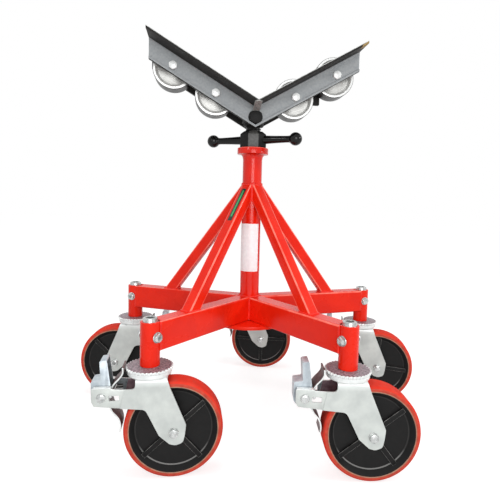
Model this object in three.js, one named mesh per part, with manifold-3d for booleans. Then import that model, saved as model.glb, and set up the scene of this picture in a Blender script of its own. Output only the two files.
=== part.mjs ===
// Pipe jack stand: a V head with four rollers on a jack screw, carried by a five-legged welded base
// on total-lock swivel casters. Millimetres, +Z up, standing on z = 0.
import * as THREE from "three";
import { mergeVertices } from "three/addons/utils/BufferGeometryUtils.js";
import Module from "manifold-3d";

const wasm = await Module();
wasm.setup();

// Clearances, and what solids need to be joined and cut
const seatGap = 0.3; // between two pieces that are welded or seated together
const runningGap = 0.4; // round a pin, axle or shank that turns in its bore
const screwGap = 0.5; // round the jack screw, in the column and in the nut
const bite = 1; // how far joined solids run into each other
const overrun = 5; // how far a cut runs past the face it opens

// Base frame
const legCount = 5;
const casterReach = 344; // column axis to caster stem axis
const legWidth = 40;
const legHeight = 60;
const legWall = 4;
const socketWall = 4.7;
const socketLength = 90;
const columnWall = 4.5;
const columnHeight = 444; // above the base plate
const collarWidth = 15; // from the column out
const collarHeight = 16;
const collarWeld = 10; // height of the weld below the collar
const collarChamfer = 2;
const basePlateDiameter = 200;
const basePlateThickness = 8;
const braceSize = 28;
const braceWall = 2.5;
const braceFootInset = 101; // caster stem axis to the brace's outer edge on the leg
const braceDrop = 95; // column top to the brace's outer edge

// Jack screw and jack nut
const screwDiameter = 40;
const screwFoot = 78; // column base to the screw's lower end, jack down
const screwStandOut = 12.3; // above the nut, jack down
const nutHubDiameter = 72; // across the corners of the eight-sided hub
const nutHubHeight = 42;
const nutNeckWall = 5;
const nutNeckHeight = 7; // height of the sloping top of the hub
const handleReach = 114; // column axis to the centre of a ball
const handleRootDiameter = 21;
const handleTipDiameter = 17;
const handleBallDiameter = 33;

// V head
const vAngle = 30; // slope of each arm, degrees
const headClearance = 4.5; // nut to the lowest point of the V frames
const angleFlange = 70; // wide leg of the angle section, level
const angleWeb = 48.5; // other leg of the angle section, square to the arm
const angleThickness = 6;
const armEnd = 58; // outer roller axis to the end of the arm, level
const lipHeight = 6; // folded lower edge of the web
const lipDepth = 4;
const mitreStrip = 18; // width of the strip under the mitre of the flanges
const mitreStripThickness = 6;
const mitreStripFall = 4; // from the flange's edge down to the web
const mitreSlot = 2; // gap left in the mitre at the flange's edge
const mitreSlotLength = 14;
const drainHole = 5;
const drainReach = 15; // from the web
const rollerDiameter = 102;
const rollerWidth = 44;
const rollerSideGap = 12; // roller to each web, taken up by the roller's hub
const rollerSpace = 18; // between the two rollers of an arm
const rollerDepth = 30; // flange's upper face to the roller axis, square to the arm
const rollerReach = 100; // head axis to the inner roller's axis, level
const rollerRim = 7; // width of the raised rim on a roller's face
const rollerDish = 9; // depth of the dished face
const rollerHubDiameter = 28;
const rollerBoltDiameter = 12;
const rollerBoltFlats = 19;
const rollerBoltHead = 8;
const headBoltDiameter = 20;
const headBoltFlats = 30;
const headBoltHead = 14;
const saddleWidth = 56;
const saddleBossDiameter = 52;
const saddleBossHeight = 12;
const shankDiameter = 25;
const shankLength = 50;
const lugWidth = 20; // lug inside the rear web, between the right arm's rollers
const lugDrop = 20; // below the web's lower edge
const lugReach = 168.5;
const lugGap = 2; // lug to the side of a roller

// Casters
const wheelDiameter = 200;
const wheelWidth = 48;
const treadThickness = 11;
const treadShoulder = 5;
const coreRim = 11; // width of the flat rim on the core's face
const coreSlope = 8; // width of the slope inside the rim
const coreDish = 11; // depth of the core's face below the rim
const coreRibWidth = 9;
const coreRibSink = 3; // ribs lie this far below the rim
const wheelHubDiameter = 44;
const axleDiameter = 12;
const axleFlats = 19;
const axleHead = 8;
const trail = 50; // swivel axis to axle, level
const forkSideGap = 3; // wheel to each cheek
const cheekThickness = 5;
const cheekTipRadius = 20;
const crownGap = 6; // tread to the underside of the crown
const crownThickness = 6;
const crownBend = 9; // outer radius of the bend from crown to cheek
const swivelDiameter = 89; // ball race, and the roots of the teeth above it
const raceHeight = 11;
const raceRound = 3;
const stemDiameter = 30;
const stemStandOut = 8; // above the socket
const stemRecessDiameter = 18;
const stemRecess = 14;
const toothPlateThickness = 5;
const toothCount = 36;
const toothHeight = 3;
const kingpinDiameter = 16;
const kingpinHeadDiameter = 24;
const kingpinHead = 8;
const stemBoltDiameter = 10;
const stemBoltFlats = 17;
const stemBoltHead = 7;

// Caster brake: reaches are from the swivel axis, away from the wheel
const brakePivotReach = 90;
const brakePivotRise = 76; // above the axle
const brakePivotDiameter = 10;
const brakePivotFlats = 16;
const brakePivotHead = 7;
const brakePlateThickness = 2.5;
const brakePlateEnd = 21; // past the pivot
const brakePlateDrop = 18; // below the pivot
const brakePlateRise = 21; // above the pivot
const brakePlateFall = 6; // of its lower edge, from its end to its root in the fork
const brakeWindow = 11;
const pedalReach = 22; // pivot to the edge of the foot step
const pedalHubRadius = 11;
const pedalLegGap = 7.6; // pedal's top to the leg it swings under
const pedalSideGap = 1.5;
const pedalWall = 3.5;
const strapWidth = 24;
const strapThickness = 2.5;
const strapToothGap = 2; // strap's hook to the teeth, brake released
const strapTreadGap = 8; // strap's shoe to the tread, brake released
const strapPinReach = 72;
const strapPinRise = 78; // above the axle
const strapPinDiameter = 6;

// How the stand is set in the photograph, in degrees
const headTurn = 5.7;
const handleTurn = -22.5;
const legOneDirection = 90;
const casterHeadings = [-5.7, 180.4, 7.4, -0.7, -9.6]; // where each wheel trails, leg 1 and on round
const wheelTurns = [0, 45, -42, -38, 5];

// Facets of round faces
const wheelFacets = 24;
const coreFacets = 16;
const rollerFacets = 16;
const columnFacets = 16;
const tubeFacets = 10;
const pinFacets = 8;
const hexagonFacets = 6; // bolt heads, and the shafts hidden between them

// Sizes and heights that follow
const socketDiameter = stemDiameter + 2 * (seatGap + socketWall);
const columnDiameter = screwDiameter + 2 * (screwGap + columnWall);
const axleHeight = wheelDiameter / 2;
const crownUnderside = wheelDiameter + crownGap;
const crownTop = crownUnderside + crownThickness;
const raceTop = crownTop + raceHeight;
const toothPlateBase = raceTop + seatGap;
const toothPlateTop = toothPlateBase + toothPlateThickness;
const toothTip = swivelDiameter / 2 + toothHeight;
const socketBase = toothPlateTop + seatGap;
const socketTop = socketBase + socketLength;
const legBase = socketTop - legHeight;
const stemBoltHeight = socketTop - legHeight / 2;
const basePlateTop = legBase - seatGap;
const columnTop = legBase + columnHeight;
const nutBase = columnTop + seatGap;
const nutTop = nutBase + nutHubHeight;
const screwTop = nutTop + screwStandOut;
const saddleBase = screwTop + seatGap;
const cheekInner = wheelWidth / 2 + forkSideGap;
const cheekOuter = cheekInner + cheekThickness;
const brakePlateInner = cheekInner - brakePlateThickness;
const brakePlateOuter = cheekInner + bite;
const brakePivotHeight = axleHeight + brakePivotRise;
const legStep = (2 * Math.PI) / legCount;

// The V: heights on the head axis, and sizes square to an arm turned into upright ones
const slope = Math.tan(THREE.MathUtils.degToRad(vAngle));
const upright = 1 / Math.cos(THREE.MathUtils.degToRad(vAngle));
const webFoot = nutTop + headClearance;
const flangeCrest = webFoot + angleWeb * upright;
const flangeUnderside = flangeCrest - angleThickness * upright;
const webInner = rollerWidth / 2 + rollerSideGap;
const webOuter = webInner + angleThickness;
const flangeEdge = webInner + angleFlange;
const mitreStripLow = flangeUnderside - mitreStripFall - bite; // where the strip meets the web
const headBoltHeight = (webFoot + lipHeight * upright + mitreStripLow) / 2;
const outerRollerReach = rollerReach + (rollerDiameter + rollerSpace) / upright;
const armSpan = outerRollerReach + armEnd;
const rollerAxes = [-outerRollerReach, -rollerReach, rollerReach, outerRollerReach];
const rollerHeight = (x) => flangeCrest + Math.abs(x) * slope - rollerDepth * upright;

// Materials
const finish = (color, roughness, metalness) =>
  new THREE.MeshStandardMaterial({ color, roughness, metalness });
const redPaint = () => finish(0xe0241c, 0.35, 0.1);
const greyPaint = () => finish(0x39424c, 0.45, 0.2);
const zincPlate = () => finish(0xd3d8d6, 0.35, 0.8);
const castBlack = () => finish(0x1b1b1d, 0.55, 0.3);
const redTread = () => finish(0xc62a1f, 0.5, 0);
const rollerSteel = () => finish(0x8d9296, 0.35, 0.8);
const brightSteel = () => finish(0xc9cbcc, 0.25, 0.9);

// A closed geometry as a solid that can be joined and cut
function solid(geometry) {
  const bare = geometry.clone();
  bare.deleteAttribute("normal");
  bare.deleteAttribute("uv");
  const merged = mergeVertices(bare);
  return new wasm.Manifold(
    new wasm.Mesh({
      numProp: 3,
      vertProperties: merged.attributes.position.array,
      triVerts: new Uint32Array(merged.index.array),
    }),
  );
}

const join = (...pieces) => pieces.reduce((whole, piece) => whole.add(piece));
const cut = (whole, ...tools) => tools.reduce((rest, tool) => rest.subtract(tool), whole);

function meshOf(name, made, material) {
  const data = made.getMesh();
  const geometry = new THREE.BufferGeometry();
  geometry.setAttribute("position", new THREE.BufferAttribute(new Float32Array(data.vertProperties), 3));
  geometry.setIndex(new THREE.BufferAttribute(new Uint32Array(data.triVerts), 1));
  geometry.computeVertexNormals();
  const mesh = new THREE.Mesh(geometry, material);
  mesh.name = name;
  return mesh;
}

// A box between two corners
function block(low, high) {
  const size = high.map((value, i) => value - low[i]);
  const geometry = new THREE.BoxGeometry(...size);
  geometry.translate(...low.map((value, i) => value + size[i] / 2));
  return solid(geometry);
}

// An upright round bar round Z, or a cone if its top has a radius of its own
function bar(radius, base, top, facets, topRadius = radius) {
  const geometry = new THREE.CylinderGeometry(topRadius, radius, top - base, facets);
  geometry.rotateX(Math.PI / 2);
  geometry.translate(0, 0, (base + top) / 2);
  return solid(geometry);
}

// A round bar lying along Y at the point (x, z)
function crossBar(radius, x, z, from, to, facets) {
  const geometry = new THREE.CylinderGeometry(radius, radius, to - from, facets);
  geometry.translate(x, (from + to) / 2, z);
  return solid(geometry);
}

// The corner radius of a round whose flats lie at the given radius, as a hole's do
const overFlats = (radius, facets) => radius / Math.cos(Math.PI / facets);

const hole = (radius, base, top, facets) => bar(overFlats(radius, facets), base, top, facets);

// A hole along Y at the point (x, z), through everything up to the given reach on either side
function crossHole(radius, x, z, reach, facets = pinFacets) {
  return crossBar(overFlats(radius, facets), x, z, -reach - overrun, reach + overrun, facets);
}

// A bolt along Y with a hexagon at each end, drawn up on faces at -reach and reach
function crossBolt(diameter, flats, head, reach) {
  const seat = reach + seatGap;
  const shaft = crossBar(diameter / 2, 0, 0, -seat - bite, seat + bite, hexagonFacets);
  const hexagon = crossBar(overFlats(flats / 2, hexagonFacets), 0, 0, seat, seat + head, hexagonFacets);
  return join(shaft, hexagon, hexagon.mirror([0, 1, 0]));
}

function shapeOf(points) {
  return new THREE.Shape(points.map(([x, y]) => new THREE.Vector2(x, y)));
}

// An outline drawn in plan and extruded upwards
function plateXY(points, base, top) {
  const geometry = new THREE.ExtrudeGeometry(shapeOf(points), { depth: top - base, bevelEnabled: false });
  geometry.translate(0, 0, base);
  return solid(geometry);
}

// An outline drawn in (x, z) and extruded along Y
function plateXZ(points, from, to) {
  const geometry = new THREE.ExtrudeGeometry(shapeOf(points), { depth: to - from, bevelEnabled: false });
  geometry.rotateX(Math.PI / 2);
  geometry.translate(0, to, 0);
  return solid(geometry);
}

// An outline drawn in (y, z) and extruded along X
function plateYZ(points, from, to) {
  return plateXZ(points, -to, -from).rotate([0, 0, 90]);
}

// A closed profile of (radius, width) points turned about Y, with a flat at the bottom
function wheelTurned(profile, facets) {
  const points = profile.map(([radius, width]) => new THREE.Vector2(radius, width));
  points.push(points[0].clone());
  return solid(new THREE.LatheGeometry(points, facets, Math.PI / facets));
}

// A closed profile of (radius, height) points turned about Z
function turned(profile, facets) {
  return wheelTurned(profile, facets).rotate([90, 0, 0]);
}

// One side of a wheel's profile, mirrored to close it
const bothSides = (half) => [...[...half].reverse().map(([radius, width]) => [radius, -width]), ...half];

// Points along an arc, both ends included, angles in degrees
function arc(cx, cy, radius, start, end, steps) {
  return Array.from({ length: steps + 1 }, (_, i) => {
    const angle = THREE.MathUtils.degToRad(start + ((end - start) * i) / steps);
    return [cx + radius * Math.cos(angle), cy + radius * Math.sin(angle)];
  });
}

// The outline of a strip of even thickness along a line of points
function ribbon(points, thickness) {
  const line = points.map(([x, y]) => new THREE.Vector2(x, y));
  const side = (sign) =>
    line.map((point, i) => {
      const before = point.clone().sub(line[Math.max(i - 1, 0)]).normalize();
      const after = line[Math.min(i + 1, line.length - 1)].clone().sub(point).normalize();
      const along = before.add(after).normalize();
      const half = thickness / 2;
      return [point.x - sign * along.y * half, point.y + sign * along.x * half];
    });
  return [...side(1), ...side(-1).reverse()];
}

// The wedge of plan that one leg and its brace may fill
function legWedge(base, top) {
  const apex = seatGap / 2 / Math.sin(legStep / 2);
  const spread = casterReach * Math.tan(legStep / 2);
  return plateXY(
    [
      [apex, 0],
      [apex + casterReach, -spread],
      [apex + casterReach, spread],
    ],
    base,
    top,
  );
}

const columnSeat = (base, top) => hole(columnDiameter / 2 + seatGap, base, top, columnFacets);

// Column: the tube that the jack screw slides in
function column() {
  const bore = hole(screwDiameter / 2 + screwGap, legBase - overrun, columnTop + overrun, columnFacets);
  return cut(bar(columnDiameter / 2, legBase, columnTop, columnFacets), bore);
}

// Collar: the ring that the jack nut bears on, with the weld below it
function collar() {
  const inner = overFlats(columnDiameter / 2 + seatGap, columnFacets);
  const outer = columnDiameter / 2 + collarWidth;
  const base = columnTop - collarHeight;
  return turned(
    [
      [inner, base - collarWeld],
      [inner + collarWeld / 4, base - collarWeld],
      [inner + collarWeld / 2, base - collarWeld / 2],
      [inner + collarWeld, base],
      [outer, base],
      [outer, columnTop - collarChamfer],
      [outer - collarChamfer, columnTop],
      [inner, columnTop],
    ],
    columnFacets,
  );
}

function basePlate() {
  return bar(basePlateDiameter / 2, basePlateTop - basePlateThickness, basePlateTop, wheelFacets);
}

// Leg: a rectangular tube mitred to its neighbours round the column, welded to a caster socket
function leg() {
  const half = legWidth / 2;
  const hollow = half - legWall;
  const end = casterReach - socketDiameter / 4;
  const tube = cut(
    block([0, -half, legBase], [end, half, socketTop]),
    block([-overrun, -hollow, legBase + legWall], [end + overrun, hollow, socketTop - legWall]),
  );
  const mitred = cut(
    tube.intersect(legWedge(legBase - overrun, socketTop + overrun)),
    columnSeat(legBase - overrun, socketTop + overrun),
  );
  const socket = bar(socketDiameter / 2, socketBase, socketTop, tubeFacets);
  const stemBore = hole(stemDiameter / 2 + seatGap, socketBase - overrun, socketTop + overrun, tubeFacets);
  const boltBore = crossHole(stemBoltDiameter / 2 + seatGap, 0, stemBoltHeight, legWidth);
  const outwards = (made) => made.translate([casterReach, 0, 0]);
  return cut(join(mitred, outwards(socket)), outwards(stemBore), outwards(boltBore));
}

// Brace: a square tube from the column down to the leg, cut to fit both
function brace() {
  const topX = columnDiameter / 2;
  const topZ = columnTop - braceDrop;
  const run = casterReach - braceFootInset - topX;
  const rise = topZ - socketTop;
  const length = Math.hypot(run, rise);
  const edge = (distance, depth) => [
    topX + (run * distance - rise * depth) / length,
    topZ - (rise * distance + run * depth) / length,
  ];
  const strip = (near, far) => [
    edge(-columnDiameter, near),
    edge(-columnDiameter, far),
    edge(length + legHeight, far),
    edge(length + legHeight, near),
  ];
  const half = braceSize / 2;
  const tube = cut(
    plateXZ(strip(0, braceSize), -half, half),
    plateXZ(strip(braceWall, braceSize - braceWall), braceWall - half, half - braceWall),
  );
  return cut(
    tube.intersect(legWedge(socketTop + seatGap, columnTop)),
    columnSeat(legBase, columnTop + overrun),
  );
}

// Jack nut: an eight-sided cast hub with two ball-ended handles along X
function jackNut() {
  const shoulder = nutTop - nutNeckHeight;
  const bore = screwDiameter / 2 + screwGap;
  const radius = nutHubDiameter / 2;
  const hub = join(
    bar(radius, nutBase, shoulder, 8),
    bar(radius, shoulder - bite, nutTop, 8, bore + nutNeckWall),
  );
  const middle = (nutBase + nutTop) / 2;
  const armLength = handleReach - screwDiameter / 2;
  const arm = new THREE.CylinderGeometry(
    handleTipDiameter / 2,
    handleRootDiameter / 2,
    armLength,
    tubeFacets,
  );
  arm.rotateZ(-Math.PI / 2);
  arm.translate(handleReach - armLength / 2, 0, middle);
  const ball = new THREE.SphereGeometry(handleBallDiameter / 2, tubeFacets, tubeFacets / 2);
  ball.translate(handleReach, 0, middle);
  const handle = join(solid(arm), solid(ball));
  const thread = hole(bore, nutBase - overrun, nutTop + overrun, columnFacets);
  return cut(join(hub, handle, handle.mirror([1, 0, 0])), thread);
}

// Jack screw, bored from above for the shank of the head
function jackScrew() {
  const bore = shankDiameter / 2 + runningGap;
  const floor = saddleBase - shankLength - shankDiameter / 2;
  return cut(
    bar(screwDiameter / 2, legBase + screwFoot, screwTop, columnFacets),
    hole(bore, floor, screwTop + overrun, tubeFacets),
  );
}

// Head saddle: the block between the two V frames, with the shank that turns in the screw
function headSaddle() {
  const half = webInner - seatGap;
  const blockBase = saddleBase + saddleBossHeight;
  const body = join(
    bar(shankDiameter / 2, saddleBase - shankLength, saddleBase + bite, tubeFacets),
    bar(saddleBossDiameter / 2, saddleBase, blockBase + bite, tubeFacets),
    block([-saddleWidth / 2, -half, blockBase], [saddleWidth / 2, half, flangeUnderside]),
  );
  return cut(body, crossHole(headBoltDiameter / 2 + seatGap, 0, headBoltHeight, webInner));
}

// A band that follows the V, between two upright distances below the flanges' crest
function vBand(from, to) {
  const end = flangeCrest + armSpan * slope;
  return [
    [-armSpan, end - from],
    [-armSpan, end - to],
    [0, flangeCrest - to],
    [armSpan, end - to],
    [armSpan, end - from],
    [0, flangeCrest - from],
  ];
}

// V frame: two mitred lengths of angle, wide leg on top, drawn as the rear one
function vFrame() {
  const web = plateXZ(vBand(0, angleWeb * upright), webInner, webOuter);
  const flange = plateXZ(vBand(0, angleThickness * upright), webInner, flangeEdge);
  const lip = plateXZ(
    vBand((angleWeb - lipHeight) * upright, angleWeb * upright),
    webOuter - bite,
    webOuter + lipDepth,
  );
  const stripEnd = flangeEdge - bite;
  const stripRise = mitreStripLow + mitreStripFall;
  const strip = plateYZ(
    [
      [webOuter - bite, mitreStripLow],
      [stripEnd, stripRise],
      [stripEnd, stripRise + mitreStripThickness],
      [webOuter - bite, mitreStripLow + mitreStripThickness],
    ],
    -mitreStrip / 2,
    mitreStrip / 2,
  );
  const slot = block(
    [-mitreSlot / 2, flangeEdge - mitreSlotLength, stripRise + mitreStripThickness],
    [mitreSlot / 2, flangeEdge + overrun, flangeCrest + overrun],
  );
  const drain = bar(drainHole / 2, webFoot, flangeCrest + overrun, 8);
  const holes = rollerAxes.map((x) =>
    crossHole(rollerBoltDiameter / 2 + seatGap, x, rollerHeight(x), webOuter),
  );
  return cut(
    join(web, flange, lip, strip),
    slot,
    drain.translate([mitreStrip / 4, webOuter + drainReach, 0]),
    crossHole(headBoltDiameter / 2 + seatGap, 0, headBoltHeight, webOuter),
    ...holes,
  );
}

// The rear frame has a lug inside its web, hanging between the right arm's rollers
function rearFrame() {
  const left = lugReach - lugWidth / 2;
  const foot = webFoot + left * slope;
  const lug = block(
    [left, rollerWidth / 2 + lugGap, foot + lipHeight - lugDrop],
    [left + lugWidth, webInner + bite, foot + angleWeb / 2],
  );
  return join(vFrame(), lug);
}

// Roller: a dished steel wheel on a hub that takes up the space between the webs
function roller() {
  const radius = rollerDiameter / 2;
  const half = rollerWidth / 2;
  const dish = half - rollerDish;
  const rim = wheelTurned(
    bothSides([
      [radius, half],
      [radius - rollerRim, half],
      [radius - rollerRim - rollerDish / 2, dish],
      [rollerHubDiameter / 3, dish],
    ]),
    rollerFacets,
  );
  const hubHalf = webInner - runningGap;
  const hub = crossBar(rollerHubDiameter / 2, 0, 0, -hubHalf, hubHalf, tubeFacets);
  return cut(join(rim, hub), crossHole(rollerBoltDiameter / 2 + runningGap, 0, 0, webInner));
}

// Wheel core: a dished casting with crossed ribs on each face
function wheelCore() {
  const radius = wheelDiameter / 2 - treadThickness;
  const half = wheelWidth / 2 - seatGap;
  const floor = half - coreDish;
  const rimInner = radius - coreRim;
  const disc = wheelTurned(
    bothSides([
      [radius, half],
      [rimInner, half],
      [rimInner - coreSlope, floor],
      [wheelHubDiameter / 4, floor],
    ]),
    coreFacets,
  );
  const ribHalf = half - coreRibSink;
  const rib = block([-rimInner, -ribHalf, -coreRibWidth / 2], [rimInner, ribHalf, coreRibWidth / 2]);
  const hubHalf = cheekInner - runningGap;
  const hub = crossBar(wheelHubDiameter / 2, 0, 0, -hubHalf, hubHalf, tubeFacets);
  const bore = crossHole(axleDiameter / 2 + runningGap, 0, 0, cheekInner);
  return cut(join(disc, rib, rib.rotate([0, 90, 0]), hub), bore);
}

// Tread: its flats, not its corners, lie at the wheel's radius, so that it stands on one
function wheelTread() {
  const outer = overFlats(wheelDiameter / 2, wheelFacets);
  const half = wheelWidth / 2;
  return wheelTurned(
    bothSides([
      [outer, half - treadShoulder],
      [outer - treadShoulder, half],
      [overFlats(wheelDiameter / 2 - treadThickness + seatGap, wheelFacets), half],
    ]),
    wheelFacets,
  );
}

// Caster stem: the part of a caster that doesn't swivel, with its toothed plate and cross bolt
function casterStem() {
  const teeth = Array.from({ length: 2 * toothCount }, (_, i) => {
    const angle = (Math.PI * i) / toothCount;
    const radius = i % 2 ? swivelDiameter / 2 : toothTip;
    return [radius * Math.cos(angle), radius * Math.sin(angle)];
  });
  const stemTop = socketTop + stemStandOut;
  const headTop = crownUnderside - seatGap;
  const bolt = crossBolt(
    stemBoltDiameter,
    stemBoltFlats,
    stemBoltHead,
    Math.max(socketDiameter, legWidth) / 2,
  );
  const body = join(
    plateXY(teeth, toothPlateBase, toothPlateTop),
    bar(stemDiameter / 2, toothPlateTop - bite, stemTop, tubeFacets),
    bar(kingpinDiameter / 2, headTop - bite, toothPlateTop, hexagonFacets),
    bar(kingpinHeadDiameter / 2, headTop - kingpinHead, headTop, hexagonFacets),
    bolt.translate([0, 0, stemBoltHeight]),
  );
  return cut(body, bar(stemRecessDiameter / 2, stemTop - stemRecess, stemTop + overrun, pinFacets));
}

// The fork's cheeks seen from the side: x as shares of the trail from the swivel axis, z as shares of
// the rise from the axle to the crown's top
const cheekBackShares = [
  [0.7, 1],
  [-0.51, 1],
  [-0.51, 0.91],
  [-0.59, 0.82],
  [-0.92, 0.82],
  [-1.08, 0.47],
  [-0.2, 0.42],
  [0, 0.37],
  [0.4, -0.03],
];
const cheekFrontShares = [
  [1.48, 0.2],
  [0.88, 0.76],
];

function cheekOutline() {
  const rise = crownTop - axleHeight;
  const place = ([x, z]) => [x * trail, axleHeight + z * rise];
  return [
    ...cheekBackShares.map(place),
    ...arc(trail, axleHeight, cheekTipRadius, 225, 350, 4),
    ...cheekFrontShares.map(place),
  ];
}

// The pressed channel that crown and cheeks are bent from, seen along the trail
function forkSection() {
  const inner = crownBend - cheekThickness;
  const low = axleHeight - cheekTipRadius - overrun;
  return [
    [-cheekOuter, low],
    [-cheekInner, low],
    ...arc(inner - cheekInner, crownUnderside - inner, inner, 180, 90, 1),
    ...arc(cheekInner - inner, crownUnderside - inner, inner, 90, 0, 1),
    [cheekInner, low],
    [cheekOuter, low],
    ...arc(cheekOuter - crownBend, crownTop - crownBend, crownBend, 0, 90, 2),
    ...arc(crownBend - cheekOuter, crownTop - crownBend, crownBend, 90, 180, 2),
  ];
}

// Brake plate: riveted inside each arm of the fork, it carries the pedal's pivot
function brakePlate() {
  const end = -brakePivotReach - brakePlateEnd;
  const base = brakePivotHeight - brakePlateDrop;
  const top = brakePivotHeight + brakePlateRise;
  const corner = brakePlateEnd / 3;
  const root = -strapPinReach + brakeWindow * 3;
  const outline = [
    [end, top - corner],
    [end, base + corner],
    [end + corner, base],
    [root, base - brakePlateFall],
    [root, top - brakePlateDrop / 2],
    [-strapPinReach + brakeWindow, top],
    [end + corner, top],
  ];
  const window = block(
    [-strapPinReach + brakeWindow / 2, 0, brakePivotHeight - brakeWindow / 2],
    [-strapPinReach + (brakeWindow * 3) / 2, cheekOuter + overrun, brakePivotHeight + brakeWindow / 2],
  );
  return cut(plateXZ(outline, brakePlateInner, brakePlateOuter), window);
}

// Brake strap: a spring strip on its pin, with a hook over the teeth and a shoe by the tread
function brakeStrap() {
  const hook = -(toothTip + strapToothGap + strapThickness / 2);
  const pinHeight = axleHeight + strapPinRise;
  const shoeRadius = wheelDiameter / 2 + strapTreadGap + strapThickness / 2;
  const shoe = arc(trail, axleHeight, shoeRadius, 174, 184, 1);
  const knee = [-strapPinReach - 2 * strapThickness, (pinHeight + shoe[0][1]) / 2];
  const line = [
    [hook, toothPlateTop + strapThickness],
    [hook, crownTop],
    [-strapPinReach, pinHeight + 3 * strapThickness],
    knee,
    ...shoe,
  ];
  const strip = plateXZ(ribbon(line, strapThickness), -strapWidth / 2, strapWidth / 2);
  const pinEnd = brakePlateOuter + bite;
  return join(
    strip,
    crossBar(strapPinDiameter / 2, -strapPinReach, pinHeight, -pinEnd, pinEnd, pinFacets),
  );
}

// Fork: the swivelling half of a caster
function fork() {
  const outline = plateXZ(cheekOutline(), -cheekOuter - overrun, cheekOuter + overrun);
  const channel = plateYZ(forkSection(), -brakePivotReach, wheelDiameter).intersect(outline);
  const bore = kingpinDiameter / 2 + runningGap;
  const radius = swivelDiameter / 2;
  const race = turned(
    [
      [0, crownTop - bite],
      [radius - raceRound, crownTop - bite],
      [radius, crownTop + raceRound],
      [radius, raceTop],
      [0, raceTop],
    ],
    columnFacets,
  );
  const body = cut(
    join(channel, race),
    hole(bore, crownUnderside - overrun, raceTop + overrun, hexagonFacets),
    crossHole(axleDiameter / 2 + seatGap, trail, axleHeight, cheekOuter),
  );
  const plate = brakePlate();
  const pivot = crossBolt(brakePivotDiameter, brakePivotFlats, brakePivotHead, brakePlateOuter);
  return join(
    body,
    plate,
    plate.mirror([0, 1, 0]),
    pivot.translate([-brakePivotReach, 0, brakePivotHeight]),
    brakeStrap(),
  );
}

// The pedal seen from the side: x as shares of its reach from the pivot, z as shares of its height
const pedalShares = [
  [0.91, 0.24],
  [0.43, 1],
  [-0.18, 1],
  [-0.24, 0.94],
  [-0.12, 0.53],
  [-0.85, 0.44],
  [-1, 0.38],
  [-1, 0.1],
];

// Brake pedal: a channel open towards the wheel, hung on the fork's pivot bolt
function brakePedal() {
  const height = legBase - pedalLegGap - brakePivotHeight;
  const outline = [
    ...pedalShares.map(([x, z]) => [x * pedalReach, z * height]),
    ...arc(0, 0, pedalHubRadius, 180, 360, 3),
  ];
  const half = brakePlateInner - pedalSideGap;
  const pocket = outline.map(([x, z]) => [x + pedalWall, z - pedalWall]);
  return cut(
    plateXZ(outline, -half, half),
    plateXZ(pocket, pedalWall - half, half - pedalWall),
    crossHole(brakePivotDiameter / 2 + runningGap, 0, 0, half),
  );
}

// Shapes that several pieces share
const legSolid = leg();
const braceSolid = brace();
const rollerSolid = roller();
const rollerBoltSolid = crossBolt(rollerBoltDiameter, rollerBoltFlats, rollerBoltHead, webOuter);
const stemSolid = casterStem();
const forkSolid = fork();
const axleSolid = crossBolt(axleDiameter, axleFlats, axleHead, cheekOuter);
const coreSolid = wheelCore();
const treadSolid = wheelTread();
const pedalSolid = brakePedal();

const stand = new THREE.Group();
stand.add(
  meshOf("column", column(), redPaint()),
  meshOf("collar", collar(), redPaint()),
  meshOf("base_plate", basePlate(), redPaint()),
);

// The swivelling half of a caster, about its stem axis
function swivelHalf(number, wheelTurn) {
  const group = new THREE.Group();
  const axle = meshOf(`axle_${number}`, axleSolid, brightSteel());
  const core = meshOf(`wheel_core_${number}`, coreSolid, castBlack());
  const tread = meshOf(`wheel_tread_${number}`, treadSolid, redTread());
  for (const piece of [axle, core, tread]) {
    piece.position.set(trail, 0, axleHeight);
  }
  core.rotation.y = THREE.MathUtils.degToRad(wheelTurn);
  const pedal = meshOf(`brake_pedal_${number}`, pedalSolid, zincPlate());
  pedal.position.set(-brakePivotReach, 0, brakePivotHeight);
  group.add(meshOf(`fork_${number}`, forkSolid, zincPlate()), axle, core, tread, pedal);
  return group;
}

// Legs, braces and casters
for (let i = 0; i < legCount; i += 1) {
  const number = i + 1;
  const direction = THREE.MathUtils.degToRad(legOneDirection) + i * legStep;
  const arm = new THREE.Group();
  arm.rotation.z = direction;
  const stem = meshOf(`caster_stem_${number}`, stemSolid, zincPlate());
  stem.position.x = casterReach;
  const caster = swivelHalf(number, wheelTurns[i]);
  caster.position.x = casterReach;
  caster.rotation.z = THREE.MathUtils.degToRad(casterHeadings[i]) - direction;
  arm.add(
    meshOf(`leg_${number}`, legSolid, redPaint()),
    meshOf(`brace_${number}`, braceSolid, redPaint()),
    stem,
    caster,
  );
  stand.add(arm);
}

// Jack
const nut = meshOf("jack_nut", jackNut(), castBlack());
nut.rotation.z = THREE.MathUtils.degToRad(handleTurn);
stand.add(nut, meshOf("jack_screw", jackScrew(), brightSteel()));

// V head
const head = new THREE.Group();
head.rotation.z = THREE.MathUtils.degToRad(headTurn);
const headBolt = crossBolt(headBoltDiameter, headBoltFlats, headBoltHead, webOuter);
head.add(
  meshOf("v_frame_front", vFrame().mirror([0, 1, 0]), greyPaint()),
  meshOf("v_frame_rear", rearFrame(), greyPaint()),
  meshOf("head_saddle", headSaddle(), castBlack()),
  meshOf("head_bolt", headBolt.translate([0, 0, headBoltHeight]), castBlack()),
);
rollerAxes.forEach((x, i) => {
  const wheel = meshOf(`roller_${i + 1}`, rollerSolid, rollerSteel());
  const bolt = meshOf(`roller_bolt_${i + 1}`, rollerBoltSolid, brightSteel());
  wheel.position.set(x, 0, rollerHeight(x));
  bolt.position.copy(wheel.position);
  head.add(wheel, bolt);
});
stand.add(head);

// The origin is the middle of the whole stand's outline in plan, at the floor
const bounds = new THREE.Box3().setFromObject(stand, true);
const centre = bounds.getCenter(new THREE.Vector3());
stand.position.set(-centre.x, -centre.y, -bounds.min.z);

export default stand;
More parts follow.
